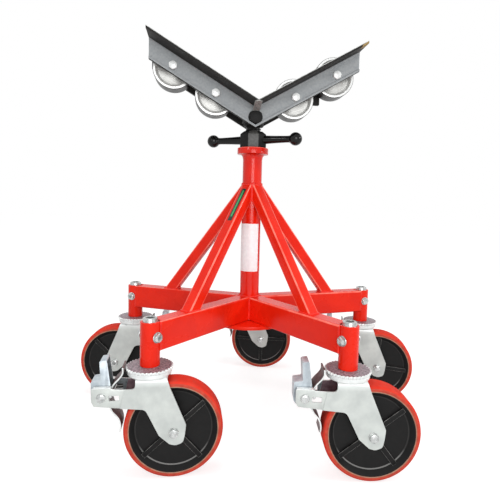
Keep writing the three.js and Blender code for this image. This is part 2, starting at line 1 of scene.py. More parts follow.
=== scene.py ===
# %% [markdown]
# # A pipe jack stand
#
# The stand holds a pipe on four steel rollers in a V. A jack screw in the column sets the height,
# and five welded legs carry it on braked casters. The CAD model gives every size and every joint.
# This notebook dresses it: rounded edges, welds, threads, bolts and finishes.

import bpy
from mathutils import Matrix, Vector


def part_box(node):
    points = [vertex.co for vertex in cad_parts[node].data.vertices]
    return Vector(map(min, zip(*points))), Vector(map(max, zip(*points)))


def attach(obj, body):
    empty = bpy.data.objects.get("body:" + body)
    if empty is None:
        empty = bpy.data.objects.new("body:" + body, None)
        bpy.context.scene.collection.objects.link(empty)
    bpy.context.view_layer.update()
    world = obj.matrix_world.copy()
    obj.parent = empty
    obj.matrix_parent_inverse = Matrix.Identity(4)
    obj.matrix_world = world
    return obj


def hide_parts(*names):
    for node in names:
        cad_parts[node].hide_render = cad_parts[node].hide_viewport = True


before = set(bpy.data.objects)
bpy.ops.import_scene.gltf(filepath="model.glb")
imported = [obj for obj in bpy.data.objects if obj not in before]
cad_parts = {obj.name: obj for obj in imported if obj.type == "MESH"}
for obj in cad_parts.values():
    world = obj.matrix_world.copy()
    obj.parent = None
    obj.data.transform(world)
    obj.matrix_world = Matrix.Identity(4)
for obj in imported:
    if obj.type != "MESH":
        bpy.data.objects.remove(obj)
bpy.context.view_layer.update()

# %% Modules
import math

import bmesh
import bpy
from mathutils import Matrix, Vector

# %% [markdown]
# ## Finding a place on the stand
#
# Sizes of such a stand are known in millimetres, and Blender counts in metres. Everything is placed
# from the column's axis, because the legs, the nut and the head are all set round it. Turns are in
# degrees, and those of the casters and wheels are as the photograph shows them.

# %% Places
MM = 0.001
LEGS = range(1, 6)
LEG_TURNS = {leg: 90 + 72 * (leg - 1) for leg in LEGS}
CASTER_TURNS = {1: -5.7, 2: 180.4, 3: 7.4, 4: -0.7, 5: -9.6}
WHEEL_TURNS = {1: 0, 2: 45, 3: -42, 4: -38, 5: 5}
HEAD_TURN = 5.7
MITRE = math.radians(36)
CASTER_REACH = 344
low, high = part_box("column")
COLUMN = Vector(((low.x + high.x) / 2, (low.y + high.y) / 2, 0))


def spot(x=0, y=0, z=0, turn=0):
    """A place in millimetres from the foot of the column's axis, turned about the upright."""
    return Matrix.Translation(Vector((x, y, z)) * MM) @ Matrix.Rotation(math.radians(turn), 4, "Z")


STAND = Matrix.Translation(COLUMN)
LEG = {leg: STAND @ spot(turn=LEG_TURNS[leg]) for leg in LEGS}
STEM = {leg: LEG[leg] @ spot(CASTER_REACH) for leg in LEGS}
CASTER = {leg: STEM[leg] @ spot(turn=CASTER_TURNS[leg] - LEG_TURNS[leg]) for leg in LEGS}
HEAD = STAND @ spot(turn=HEAD_TURN)
print("column axis in metres:", [round(v, 5) for v in COLUMN])

# %% [markdown]
# ## Skins
#
# Nearly every part here is rolled, turned, cut from plate or bent from tube. Each of these is a row
# of rings with skin between them, so one helper makes the skin and others make the rings. Edges
# sharper than an angle stay crisp, and all the rest is shaded smooth.


# %% A skin over rings
def skin(name, points, faces, tints=None, sharp=35):
    """A mesh from points in millimetres. Tints say which finish each face takes."""
    mesh = bpy.data.meshes.new(name)
    mesh.from_pydata([Vector(point) * MM for point in points], [], faces)
    if tints:
        mesh.polygons.foreach_set("material_index", tints)
    work = bmesh.new()
    work.from_mesh(mesh)
    bmesh.ops.remove_doubles(work, verts=work.verts, dist=1e-6)
    bmesh.ops.recalc_face_normals(work, faces=work.faces)
    for face in work.faces:
        face.smooth = True
    for edge in work.edges:
        edge.smooth = len(edge.link_faces) == 2 and edge.calc_face_angle() < math.radians(sharp)
    work.to_mesh(mesh)
    work.free()
    return mesh


def loft(name, rings, ring_closed=False, tinted_bands=(), sharp=35, lines=()):
    """Skin between rings of equal length. Bands in tinted_bands, and lines along, take the second finish."""
    count = len(rings[0])
    points = [point for ring in rings for point in ring]
    faces, tints = [], []
    for i in range(len(rings) if ring_closed else len(rings) - 1):
        here, there = i * count, (i + 1) % len(rings) * count
        for j in range(count):
            k = (j + 1) % count
            faces.append((here + j, here + k, there + k, there + j))
            tints.append(1 if i in tinted_bands or j in lines else 0)
    if not ring_closed:
        faces += [tuple(range(count)), tuple(range(len(points) - count, len(points)))]
        tints += [0, 0]
    return skin(name, points, faces, tints, sharp)


def lay(axis, a, b, level):
    """A point from two coordinates across an axis and one along it."""
    return {"X": (level, a, b), "Y": (a, level, b), "Z": (a, b, level)}[axis]


def turned(name, profile, axis="Z", steps=96, tinted_bands=(), sharp=35):
    """A closed profile of (radius, height) points, turned about an axis as on a lathe."""
    turns = [2 * math.pi * i / steps for i in range(steps)]
    rings = []
    for radius, height in profile:
        rings.append([lay(axis, radius * math.cos(t), radius * math.sin(t), height) for t in turns])
    return loft(name, rings, True, tinted_bands, sharp)


# %% [markdown]
# Plate work needs outlines with rounded corners and a rim that isn't knife sharp. The rim is made by
# drawing the outline in a little before it is lifted, so no modifier has to guess at it.


# %% Outlines and plates
def rounded(outline, radii, steps=6):
    """An outline with its corners rounded off, all alike or each by its own radius."""
    corners = [Vector(point) for point in outline]
    radii = [radii] * len(corners) if isinstance(radii, (int, float)) else radii
    made = []
    for i, corner in enumerate(corners):
        before = corners[i - 1] - corner
        after = corners[(i + 1) % len(corners)] - corner
        opening = before.angle(after)
        reach = radii[i] / max(math.tan(opening / 2), 0.05)
        reach = min(reach, before.length / 2.02, after.length / 2.02)
        if reach < 0.05:
            made.append(corner)
            continue
        start = corner + before.normalized() * reach
        end = corner + after.normalized() * reach
        for s in range(steps + 1):
            t = s / steps
            made.append(start * (1 - t) ** 2 + corner * 2 * t * (1 - t) + end * t * t)
    return [tuple(point) for point in made]


def drawn_in(outline, by):
    """The outline moved inwards by a small distance."""
    points = [Vector(point) for point in outline]
    made = []
    for i, point in enumerate(points):
        before = (point - points[i - 1]).normalized()
        after = (points[(i + 1) % len(points)] - point).normalized()
        along = (before + after).normalized()
        inward = Vector((-along.y, along.x))
        made.append(point + inward * by / max(before.dot(along), 0.5))
    return made


def anticlockwise(outline):
    pairs = zip(outline, list(outline[1:]) + [outline[0]])
    area = sum(a[0] * b[1] - b[0] * a[1] for a, b in pairs)
    return list(outline) if area > 0 else list(reversed(outline))


RIMS, WALL = (0, 1, 3, 4), (2,)


def plate(name, outline, base, top, rim=0.8, axis="Z", tinted_bands=()):
    """An outline lifted along an axis, with rounded rims. Tinted bands may be the rims or the wall."""
    outline = anticlockwise(outline)
    steps = [(rim, 0), (rim * 0.3, rim * 0.3), (0, rim)]
    levels = [(by, base + up) for by, up in steps] + [(by, top - up) for by, up in reversed(steps)]
    rings = [[lay(axis, a, b, level) for a, b in drawn_in(outline, by)] for by, level in levels]
    return loft(name, rings, False, tinted_bands)


def circle(radius, cx=0, cy=0, start=0, end=360, steps=32):
    """Points along an arc. A whole circle doesn't repeat its first point."""
    whole = abs(end - start) >= 360
    count = steps if whole else steps + 1
    turns = [math.radians(start + (end - start) * i / steps) for i in range(count)]
    return [(cx + radius * math.cos(turn), cy + radius * math.sin(turn)) for turn in turns]


# %% [markdown]
# A weld follows a path. Cut into even steps, the path can carry a round section, and swelling that
# section at a steady pitch gives the weld the ripples where its drops froze.


# %% Ropes along a path
WELD_STEP, WELD_SIDES, RIPPLE_PITCH, END_SHARE = 1.0, 10, 3.2, 0.35


def evenly(path, pitch, looped=False):
    """The path as points an even pitch apart."""
    points = [Vector(point) for point in path]
    if looped:
        points.append(points[0])
    made, spare = [points[0]], 0.0
    for start, end in zip(points, points[1:]):
        length = (end - start).length
        reach = pitch - spare
        while reach < length:
            made.append(start.lerp(end, reach / length))
            reach += pitch
        spare = length - (reach - pitch)
    if looped and (made[-1] - made[0]).length < pitch / 2:
        made.pop()
    return made


def rope(name, path, radius, ripple, looped=False):
    """A round rope along a path, its ends drawn together."""
    points = evenly(path, WELD_STEP, looped)
    count = len(points)
    turns = [2 * math.pi * s / WELD_SIDES for s in range(WELD_SIDES)]
    rings, up = [], Vector((0.31, 0.17, 0.94)).normalized()
    for i, point in enumerate(points):
        after = points[(i + 1) % count] if looped or i < count - 1 else point
        before = points[i - 1] if looped or i > 0 else point
        along = (after - before).normalized()
        up = (up - along * up.dot(along)).normalized()
        side = along.cross(up)
        swell = radius * (1 + ripple * math.sin(2 * math.pi * i * WELD_STEP / RIPPLE_PITCH))
        if not looped and i in (0, count - 1):
            swell *= END_SHARE
        rings.append([point + (up * math.cos(t) + side * math.sin(t)) * swell for t in turns])
    return loft(name, rings, looped, (), 60)


# %% [markdown]
# ## Pieces
#
# A piece is often several meshes in one, such as a bolt with its nut. It then rides on the body of
# the CAD part that it stands for, and hides the plain solid.


# %% Putting pieces on their bodies
def joined(name, parts):
    """Several meshes as one. A part is a mesh, or a mesh with the matrix that moves it."""
    work = bmesh.new()
    for part in parts:
        mesh, move = part if isinstance(part, tuple) else (part, Matrix())
        moved = mesh.copy()
        moved.transform(move)
        work.from_mesh(moved)
        bpy.data.meshes.remove(moved)
    mesh = bpy.data.meshes.new(name)
    work.to_mesh(mesh)
    work.free()
    return mesh


def put(name, mesh, finishes, body, where, stands_for=(), own_axes=False):
    """A piece at a place, riding on a body. It may stand for nodes of the CAD model.

    Its points are moved and its object stays at the origin, so its box is as tight as can be. A
    piece whose finish is turned about its own axis keeps that axis instead.
    """
    mesh = mesh.copy()
    for finish in finishes:
        mesh.materials.append(finish)
    piece = bpy.data.objects.new(name, mesh)
    bpy.context.scene.collection.objects.link(piece)
    if own_axes:
        piece.matrix_world = where
    else:
        mesh.transform(where)
    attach(piece, body)
    if stands_for:
        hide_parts(*stands_for)
    return piece


# %% [markdown]
# ## Finishes
#
# A painted or plated surface is never one flat colour. Its tone drifts over patches, from a few
# millimetres across on rough metal to a palm's width on smooth paint. Its gloss drifts with it, and a
# fine grain breaks up the highlight. A helper wires these three up, and takes a function from a
# finish that has something of its own.


# %% Shader helpers
def srgb(red, green, blue):
    """A colour as it is seen on a screen, 0 to 255, as the linear values that Blender uses."""
    made = []
    for value in (red, green, blue):
        share = value / 255
        made.append(share / 12.92 if share <= 0.04045 else ((share + 0.055) / 1.055) ** 2.4)
    return (*made, 1)


def add(tree, kind, settings=None, **inputs):
    """A node with its settings made and its inputs set or linked."""
    made = tree.nodes.new("ShaderNode" + kind)
    for key, value in (settings or {}).items():
        setattr(made, key, value)
    for key, value in inputs.items():
        socket = made.inputs[key.replace("_", " ")]
        if isinstance(value, bpy.types.NodeSocket):
            tree.links.new(value, socket)
        else:
            socket.default_value = value
    return made


def noise(tree, where, scale, detail=3):
    made = add(tree, "TexNoise", Vector=where, Scale=scale, Detail=detail)
    return made.outputs["Fac"]


def between(tree, value, low, high, to_low=0, to_high=1):
    """Stretches a value from one span to another, and holds it there."""
    made = add(tree, "MapRange", Value=value)
    for key, number in (("From Min", low), ("From Max", high), ("To Min", to_low), ("To Max", to_high)):
        made.inputs[key].default_value = number
    return made.outputs["Result"]


def mixed(tree, share, first, second):
    """Two colours mixed. Each may be a colour or the output of another node."""
    made = tree.nodes.new("ShaderNodeMix")
    made.data_type = "RGBA"
    for index, value in ((0, share), (6, first), (7, second)):
        if isinstance(value, bpy.types.NodeSocket):
            tree.links.new(value, made.inputs[index])
        else:
            made.inputs[index].default_value = value
    return made.outputs[2]


GRAIN_DEPTH = 0.0005


def finish(name, dark, light, patch, gloss, grain, shine=0.5, metal=0.0, detail=None):
    """A finish that drifts between two tones over patches of a size in mm.

    Gloss is the roughness at both ends of the drift. Grain is a strength and a size in mm. Shine is
    how strongly it mirrors, and metal how much of a metal it is. Detail may be a function that takes
    the tree, the place and the tone, and gives the tone that is used in the end. Noise is seldom
    below 0.3 or above 0.7, so that span is stretched.
    """
    material = bpy.data.materials.new(name)
    material.use_nodes = True
    tree = material.node_tree
    shader = tree.nodes["Principled BSDF"]
    shader.inputs["Metallic"].default_value = metal
    shader.inputs["Specular IOR Level"].default_value = shine
    where = tree.nodes.new("ShaderNodeTexCoord").outputs["Object"]
    drift = noise(tree, where, 1000 / patch, 4)
    tone = mixed(tree, between(tree, drift, 0.35, 0.65), srgb(*dark), srgb(*light))
    rough = between(tree, drift, 0.3, 0.7, *gloss)
    tree.links.new(rough, shader.inputs["Roughness"])
    fine = noise(tree, where, 1000 / grain[1], 2)
    bump = add(tree, "Bump", Strength=grain[0], Distance=GRAIN_DEPTH, Height=fine)
    tree.links.new(bump.outputs["Normal"], shader.inputs["Normal"])
    if detail:
        tone = detail(tree, where, tone)
    tree.links.new(tone, shader.inputs["Base Color"])
    return material


def upright(tree, where):
    """The height of a place, in metres."""
    return add(tree, "SeparateXYZ", Vector=where).outputs["Z"]


# %% [markdown]
# ### Red enamel
#
# The base is welded from tube and sprayed in one thick coat of red. Spray paint flows out nearly
# smooth and leaves a faint orange peel. The corners take a paler red, painted highlight.

# %% Red enamel and its corners
red_paint = finish("red_enamel", (224, 32, 10), (235, 40, 16), 60, (0.22, 0.32), (0.1, 2.5), 0.2)
# A paler red, painted highlight for corners and rims that catch the light.
red_highlight = finish("red_enamel_highlight", (250, 92, 76), (255, 132, 116), 30, (0.22, 0.32), (0.1, 2.5), 0.35)
weld_paint = finish("red_enamel_weld", (222, 26, 10), (240, 42, 24), 8, (0.26, 0.4), (0.25, 1.5), 0.35)
red_gloss = finish("red_enamel_gloss", (214, 26, 8), (228, 34, 12), 50, (0.14, 0.22), (0.08, 3.0), 0.3)
print("finishes so far:", len(bpy.data.materials))

# %% [markdown]
# ### Zinc plate
#
# Forks and pedals are pressed from steel sheet and zinc plated. The plate is pale, cloudy and
# slightly green or blue, and the toothed plate keeps a darker, purplish tone. A whiter tone is painted
# round the fork's bends, on faces that face up and on thin edges, as highlight. Inside the fork little
# light arrives, so a darker finish stands for it as painted shade.


# %% Zinc
def painted_bend_highlight(tree, where, tone):
    """Whiter towards the top of a fork: painted highlight where the bent sheet faces the light above."""
    share = between(tree, upright(tree, where), 0.194, 0.211)
    return mixed(tree, share, tone, srgb(234, 238, 237))


zinc = finish("zinc_plate", (190, 195, 192), (205, 210, 206), 26, (0.32, 0.44), (0.14, 1.4), metal=0.2,
              detail=painted_bend_highlight)
zinc_blue = finish("zinc_plate_blue", (170, 180, 188), (196, 205, 210), 16, (0.3, 0.42), (0.14, 1.4),
                   metal=0.2)
# Pale zinc, painted highlight on faces that face up, on thin edges and teeth, and on the whole race.
zinc_highlight = finish("zinc_plate_highlight", (222, 226, 225), (238, 241, 240), 20, (0.25, 0.35), (0.05, 1.0),
                   metal=0.2)
zinc_shade = finish("zinc_plate_shade", (92, 98, 101), (124, 132, 136), 9, (0.4, 0.55), (0.2, 1.0), 0.3, 0.2)
zinc_dark = finish("zinc_plate_dark", (88, 78, 84), (176, 158, 165), 4, (0.35, 0.5), (0.3, 1.0), metal=0.35)
# Purplish dark zinc, painted shade on the inner faces of the fork.
zinc_inside_shade = finish("zinc_plate_inside_shade", (104, 82, 90), (132, 112, 118), 9, (0.45, 0.6), (0.2, 1.0),
                     0.3, 0.2)
strip_steel = finish("spring_steel", (96, 76, 78), (124, 104, 102), 10, (0.4, 0.55), (0.2, 1.0), 0.35, 0.2)
print("finishes so far:", len(bpy.data.materials))

# %% [markdown]
# ### Castings, polyurethane and bolts
#
# The wheel cores and the jack nut are black castings with a sandy skin. Their paler greys are
# painted highlight: on the ribs' corners and the nut's front flat, which are a little rubbed as well,
# and on the foot of the dish. The tread is red polyurethane, smooth but dull, and it picks up a little
# dust; its sides are painted darker as shade. Most bolts are bright, the rollers' are white zinc
# painted nearly white as highlight, the head's is black, and the jack screw is dark with oil.


# %% Black castings, steel and tread
def painted_foot_highlight(tree, where, tone):
    """Greyer towards the ground: painted highlight where the foot of the dish faces up to the light."""
    share = between(tree, upright(tree, where), 0.05, 0.068, 0.7, 0)
    return mixed(tree, share, tone, srgb(132, 131, 129))


def dusty(tree, where, tone):
    """Pale dust in soft patches."""
    share = between(tree, noise(tree, where, 55, 5), 0.52, 0.78, 0, 0.4)
    return mixed(tree, share, tone, srgb(178, 92, 78))


black_cast = finish("black_casting", (9, 9, 9), (20, 19, 19), 14, (0.5, 0.65), (0.35, 1.1), 0.2)
# Paler grey on the ribs' corners: painted highlight, and a little rubbing.
black_edge_highlight = finish("black_casting_edge_highlight", (52, 52, 50), (138, 136, 133), 14, (0.4, 0.55), (0.2, 1.0), 0.4)
black_ring = finish("black_casting_ring", (26, 26, 25), (38, 37, 36), 14, (0.4, 0.55), (0.2, 1.0), 0.3,
                    detail=painted_foot_highlight)
bright = finish("bright_steel", (164, 167, 166), (206, 208, 207), 7, (0.18, 0.3), (0.04, 0.8), metal=0.75)
oiled = finish("oiled_steel", (14, 13, 13), (27, 25, 24), 7, (0.3, 0.45), (0.15, 1.0), 0.22)
handle_black = finish("handle_black", (6, 6, 6), (13, 12, 12), 16, (0.1, 0.2), (0.06, 2.0), 0.25)
# Near-white for the rollers' bolts: white zinc, with painted highlight.
white_zinc_highlight = finish("white_zinc_highlight", (222, 224, 223), (242, 243, 242), 5, (0.3, 0.45), (0.08, 0.8), metal=0.15)
# A paler grey for the nut's front flat: painted highlight, and some rubbing.
nut_flat_highlight = finish("nut_flat_highlight", (50, 49, 48), (80, 79, 77), 6, (0.35, 0.5), (0.3, 1.0), 0.4)
tread_red = finish("red_tread", (208, 52, 38), (222, 62, 46), 22, (0.6, 0.75), (0.1, 2.0), 0.05, detail=dusty)
# The tread's sides take a darker red, painted shade.
tread_side_shade = finish("red_tread_painted_shade", (178, 66, 52), (206, 78, 60), 12, (0.5, 0.65), (0.15, 1.5), 0.12)
tread_bead = finish("tread_bead", (150, 104, 84), (178, 132, 108), 12, (0.5, 0.65), (0.2, 1.0))
print("finishes so far:", len(bpy.data.materials))

# %% [markdown]
# ### Grey paint of the head, roller steel and film
#
# The V frames are painted a mid grey. What faces down or inwards takes a near-black finish as painted
# shade, and the rolled edges take a pale one as painted highlight. So the frames take three finishes.
#
# A roller's face shows the rings of the turning tool. They depend on nothing but the distance from
# the axis, so the finish works that out first, and by it paints the rim pale as highlight and the
# outside dark as shade.


# %% Grey paint, roller steel and film
def rings_and_painted_light(tree, where, tone):
    """Fine rings on the face, a pale rim as painted highlight and a dark outside as painted shade, by the
    distance from the axis in metres.
    """
    parts = add(tree, "SeparateXYZ", Vector=where).outputs
    across = add(tree, "CombineXYZ", X=parts["X"], Z=parts["Z"]).outputs["Vector"]
    radius = add(tree, "VectorMath", {"operation": "LENGTH"}, Vector=across).outputs["Value"]
    fine = add(tree, "TexNoise", {"noise_dimensions": "1D"}, W=radius, Scale=900, Detail=3).outputs["Fac"]
    ringed = mixed(tree, between(tree, fine, 0.3, 0.7, 0, 0.25), tone, srgb(128, 127, 124))
    rimmed = mixed(tree, between(tree, radius, 0.0444, 0.0458), ringed, srgb(228, 229, 228))
    return mixed(tree, between(tree, radius, 0.0495, 0.0503), rimmed, srgb(32, 31, 30))


head_grey = finish("grey_paint", (152, 156, 159), (166, 169, 170), 5, (0.5, 0.62), (0.4, 1.3), 0.22)
# Near black is painted shade below and inside the frames, pale grey is painted highlight on rolled edges.
head_shade = finish("grey_paint_shade", (20, 19, 18), (34, 32, 30), 20, (0.5, 0.65), (0.2, 1.6), 0.2)
head_highlight = finish("grey_paint_highlight", (164, 165, 163), (196, 197, 195), 8, (0.3, 0.45), (0.2, 1.2))
head_tab = finish("grey_paint_tab", (126, 126, 124), (158, 158, 155), 9, (0.4, 0.55), (0.25, 1.2), 0.4)
worn_end = finish("worn_primer", (138, 112, 62), (170, 142, 90), 5, (0.5, 0.65), (0.2, 1.0), 0.3)
# The roller finish paints a pale rim as highlight and a dark outside as shade.
roller_steel = finish("roller_steel", (190, 190, 187), (208, 208, 205), 12, (0.3, 0.42), (0.15, 1.2),
                      metal=0.3, detail=rings_and_painted_light)
label_white = finish("blank_label", (242, 240, 242), (251, 250, 251), 8, (0.35, 0.5), (0.06, 1.0))
strip_dark = finish("blank_strip", (20, 30, 24), (34, 44, 36), 6, (0.3, 0.4), (0.06, 1.0))
strip_green = finish("blank_strip_green", (52, 150, 84), (72, 178, 104), 6, (0.3, 0.4), (0.06, 1.0))
print("finishes:", sorted(m.name for m in bpy.data.materials))

# %% [markdown]
# ## Column, collar and base plate
#
# The column is a plain tube. The ring on top of it is what the jack nut bears on, and a hollow
# weld runs up to it from the tube. Both are turned parts, so a profile says everything.

# %% Column, collar and base plate
LEG_BASE, LEG_TOP, COLUMN_TOP = 258.6, 318.6, 702.6
COLUMN_RADIUS, COLUMN_BORE = 25, 20.6
column = turned("column_tube", [(COLUMN_BORE, LEG_BASE), (COLUMN_RADIUS, LEG_BASE),
                                (COLUMN_RADIUS, COLUMN_TOP), (COLUMN_BORE, COLUMN_TOP)], steps=128)
put("column_tube", column, [red_gloss], "base", STAND, ["column"])
sweep = circle(10.5, 36.2, 676.3, 180, 95, 8)
ring_profile = [(25.2, 673.6)] + sweep + [(39.2, 686.6), (40, 687.4), (40, 700.8), (39.4, 702),
                                          (38.2, COLUMN_TOP), (25.2, COLUMN_TOP)]
# The collar's upper corner takes the paler red, painted highlight.
upper_corner_highlight = [len(sweep) + 3, len(sweep) + 4]
collar = turned("collar_ring", ring_profile, steps=128, tinted_bands=upper_corner_highlight)
put("collar_ring", collar, [red_gloss, red_highlight], "base", STAND, ["collar"])
disc = plate("base_disc", circle(100, steps=128), 250.3, 258.3, 1.0)
put("base_disc", disc, [red_paint, red_highlight], "base", STAND, ["base_plate"])
print("column from", LEG_BASE, "to", COLUMN_TOP, "mm")

# %% [markdown]
# ## Legs
#
# Each leg is a length of rectangular tube. Its inner end is cut to the column and mitred to its
# neighbours, and its outer end carries the upright socket of a caster. Rolled tube has rounded
# corners, so the section is a rounded rectangle, and each of its points finds its own end.


# %% Leg tube and socket
def leg_inner(y):
    """How far from the column's axis a leg starts, at a distance from its middle."""
    on_column = math.sqrt(max((COLUMN_RADIUS + 0.3) ** 2 - y * y, 0))
    on_mitre = abs(y) / math.tan(MITRE) + 0.25
    return max(on_column, on_mitre)


def tube_section(width, height, corner):
    half, tall = width / 2, height / 2
    return rounded([(-half, -tall), (half, -tall), (half, tall), (-half, tall)], corner, 5)


LEG_WIDTH, LEG_HEIGHT, LEG_END = 40, 60, 334
leg_section = tube_section(LEG_WIDTH, LEG_HEIGHT, 3.5)
leg_section = [(y, z + (LEG_BASE + LEG_TOP) / 2) for y, z in leg_section]
dense = [tuple(p) for p in evenly(leg_section, 2.0, True)]
# The leg's top corners take the paler red, painted highlight.
top_corner_highlights = [j for j, (y, z) in enumerate(dense) if 17 < abs(y) < 19.9 and z > LEG_TOP - 3]
inner_end = [(leg_inner(y), y, z) for y, z in dense]
outer_end = [(LEG_END, y, z) for y, z in dense]
leg_tube = loft("leg_tube", [inner_end, outer_end], lines=top_corner_highlights)
SOCKET_BASE = 228.6
socket = turned("socket_tube", [(15.3, SOCKET_BASE + 1), (16, SOCKET_BASE), (19.4, SOCKET_BASE),
                                (20, SOCKET_BASE + 0.7), (20, LEG_TOP - 0.9), (19.3, LEG_TOP),
                                (16, LEG_TOP), (15.3, LEG_TOP - 0.8)], steps=72)
for leg in LEGS:
    put(f"leg_tube_{leg}", leg_tube, [red_paint, red_highlight], "base", LEG[leg], [f"leg_{leg}"])
    put(f"leg_socket_{leg}", socket, [red_paint], "base", STEM[leg], [f"leg_{leg}"])
print("leg section points:", len(dense))

# %% [markdown]
# ## Braces
#
# A brace is a square tube set on the leg's back and run up to the column. Its section is carried
# along its slope, and each point slides along that slope until it meets the leg or the column.

# %% Brace tube
FOOT = Vector((243, 0, LEG_TOP + 0.3))
HEAD_OF_BRACE = Vector((COLUMN_RADIUS, 0, 607.6))
BRACE_SIZE = 28
slope_up = (HEAD_OF_BRACE - FOOT).normalized()
outward = Vector((-slope_up.z, 0, slope_up.x)) * -1


def on_slope(y, depth, axis, reach):
    """Where a line up the slope, at a depth in the tube, comes to a reach along an axis."""
    start = FOOT - outward * depth
    start = start + slope_up * ((reach - start[axis]) / slope_up[axis])
    return (start.x, y, start.z)


def on_leg(y, depth):
    return on_slope(y, depth, 2, FOOT.z)


def on_column(y, depth):
    return on_slope(y, depth, 0, math.sqrt((COLUMN_RADIUS + 0.2) ** 2 - y * y))


brace_section = [(y, d + BRACE_SIZE / 2) for y, d in tube_section(BRACE_SIZE, BRACE_SIZE, 2.8)]
foot_ring = [on_leg(y, depth) for y, depth in brace_section]
head_ring = [on_column(y, depth) for y, depth in brace_section]
# The brace's rounded corners take the paler red, painted highlight.
corners = [j for j in range(len(brace_section)) if j % 6 < 5]
brace_tube = loft("brace_tube", [foot_ring, head_ring], lines=corners)
for leg in LEGS:
    put(f"brace_tube_{leg}", brace_tube, [red_paint, red_highlight], "base", LEG[leg], [f"brace_{leg}"])
print("brace length in mm:", round((HEAD_OF_BRACE - FOOT).length))

# %% [markdown]
# ## Welds
#
# Every joint of the base is welded all round and then painted. A weld is a rope laid into the
# corner, half of it sunk into the tubes, with ripples where each drop froze.

# %% Weld ropes
foot_weld = rope("foot_weld", [(x, y, LEG_TOP + 0.4) for x, y, z in foot_ring], 2.6, 0.14, True)
sides = zip(brace_section, brace_section[1:] + brace_section[:1])
head_path = [Vector(a).lerp(Vector(b), step / 8) for a, b in sides for step in range(8)]
head_weld = rope("head_weld", [on_column(y, depth) for y, depth in head_path], 2.4, 0.14, True)
crotch = (27.9, 20.1)
crotch_weld = rope("crotch_weld", [(*crotch, LEG_BASE + 1), (*crotch, LEG_TOP - 1)], 2.6, 0.12)
WELD_REACH = COLUMN_RADIUS + 0.4
seam_start = (WELD_REACH * math.cos(MITRE), WELD_REACH * math.sin(MITRE))
seam_weld = rope("seam_weld", [(*seam_start, LEG_TOP - 0.6), (*crotch, LEG_TOP - 0.6)], 1.8, 0.12)
column_foot = [(x, y, LEG_TOP - 0.4) for x, y in circle(WELD_REACH, steps=80)]
column_weld = rope("column_weld", column_foot, 2.6, 0.14, True)
top_arc = [(x, y, LEG_TOP - 1.2) for x, y in circle(20.2, start=148, end=212, steps=20)]
low_arc = [(x, y, LEG_BASE + 0.6) for x, y in circle(20.4, start=140, end=220, steps=20)]
socket_beads = []
for side in (-1, 1):
    corner = (-11.2, side * 18.6)
    socket_beads.append(rope("socket_side", [(*corner, LEG_BASE + 1), (*corner, LEG_TOP - 1)], 2.3, 0.12))
socket_beads.append(rope("socket_top", top_arc, 2.0, 0.12))
socket_beads.append(rope("socket_low", low_arc, 2.2, 0.12))
socket_weld = joined("socket_weld", socket_beads)
for leg in LEGS:
    for name, mesh, where in (("foot_weld", foot_weld, LEG), ("head_weld", head_weld, LEG),
                              ("crotch_weld", crotch_weld, LEG), ("seam_weld", seam_weld, LEG),
                              ("socket_weld", socket_weld, STEM)):
        put(f"{name}_{leg}", mesh, [weld_paint], "base", where[leg])
put("column_weld", column_weld, [weld_paint], "base", STAND)

# %% [markdown]
# ## Bolts
#
# A bolt head starts as a hexagon and is turned on a lathe, which cuts its corners to a cone. So each
# ring is the smaller of the two at every angle: the hexagon, or the circle of the cone there.


# %% Hexagon heads and cross bolts
WASHER = 1.6
CONE_START, CONE_SLOPE = 0.94, 1.75


def hexagon_head(name, flats, height, washer=0):
    """A bolt head standing on z = 0, on a washer of a diameter if one is asked for."""
    rings, steps = [], 48
    seat = WASHER if washer else 0
    for level in (seat, height - 2.4, height - 1.6, height - 0.9, height - 0.35, height):
        ring = []
        for i in range(steps):
            angle = 2 * math.pi * i / steps
            off = (angle + math.pi / 6) % (math.pi / 3) - math.pi / 6
            cone = flats / 2 * CONE_START + (height - level) * CONE_SLOPE
            reach = min(flats / 2 / math.cos(off), cone)
            ring.append((reach * math.cos(angle), reach * math.sin(angle), level))
        rings.append(ring)
    parts = [loft(name, rings)]
    if washer:
        rim = washer / 2
        parts.append(turned(name, [(0, 0), (rim - 0.4, 0), (rim, 0.4), (rim, WASHER - 0.4),
                                   (rim - 0.4, WASHER), (0, WASHER)], steps=48))
    return joined(name, parts)


def cross_bolt(name, flats, head, reach, diameter, washer=0, end=0):
    """A bolt along Y: its head at one side, and a nut with the bolt's end at the other."""
    one = hexagon_head(name, flats, head, washer)
    parts = []
    for side in (-1, 1):
        turn = Matrix.Rotation(-side * math.pi / 2, 4, "X")
        parts.append((one, Matrix.Translation((0, side * reach * MM, 0)) @ turn))
    shaft = diameter / 2
    far = reach + head + end
    rod = [(0, 2 - reach), (shaft, 2 - reach), (shaft, far - 0.8), (shaft - 0.8, far), (0, far)]
    return joined(name, parts + [turned(name, rod, "Y", 32)])


# %% [markdown]
# ## Wheels
#
# A wheel is a black casting with a polyurethane tread moulded round it. The casting has a deep
# dish, a narrow rim and four ribs in a cross, whose corners take a paler grey, as painted highlight
# and a little rubbing. The tread's shoulders are well rounded, its sides are painted darker as
# shade, and a thin brown bead of resin shows where it meets the casting.

# %% Tread and bead
WHEEL_RADIUS, WHEEL_HALF, SHOULDER = 100, 24, 8
along_shoulder = [i / 10 for i in range(11)]
shoulder = [(WHEEL_RADIUS - SHOULDER * t * t, WHEEL_HALF - SHOULDER * (1 - t) ** 2) for t in along_shoulder]
half_tread = shoulder + [(89.8, WHEEL_HALF - 0.2), (89.2, WHEEL_HALF - 1.5)]
tread_profile = [(r, -w) for r, w in reversed(half_tread)] + half_tread
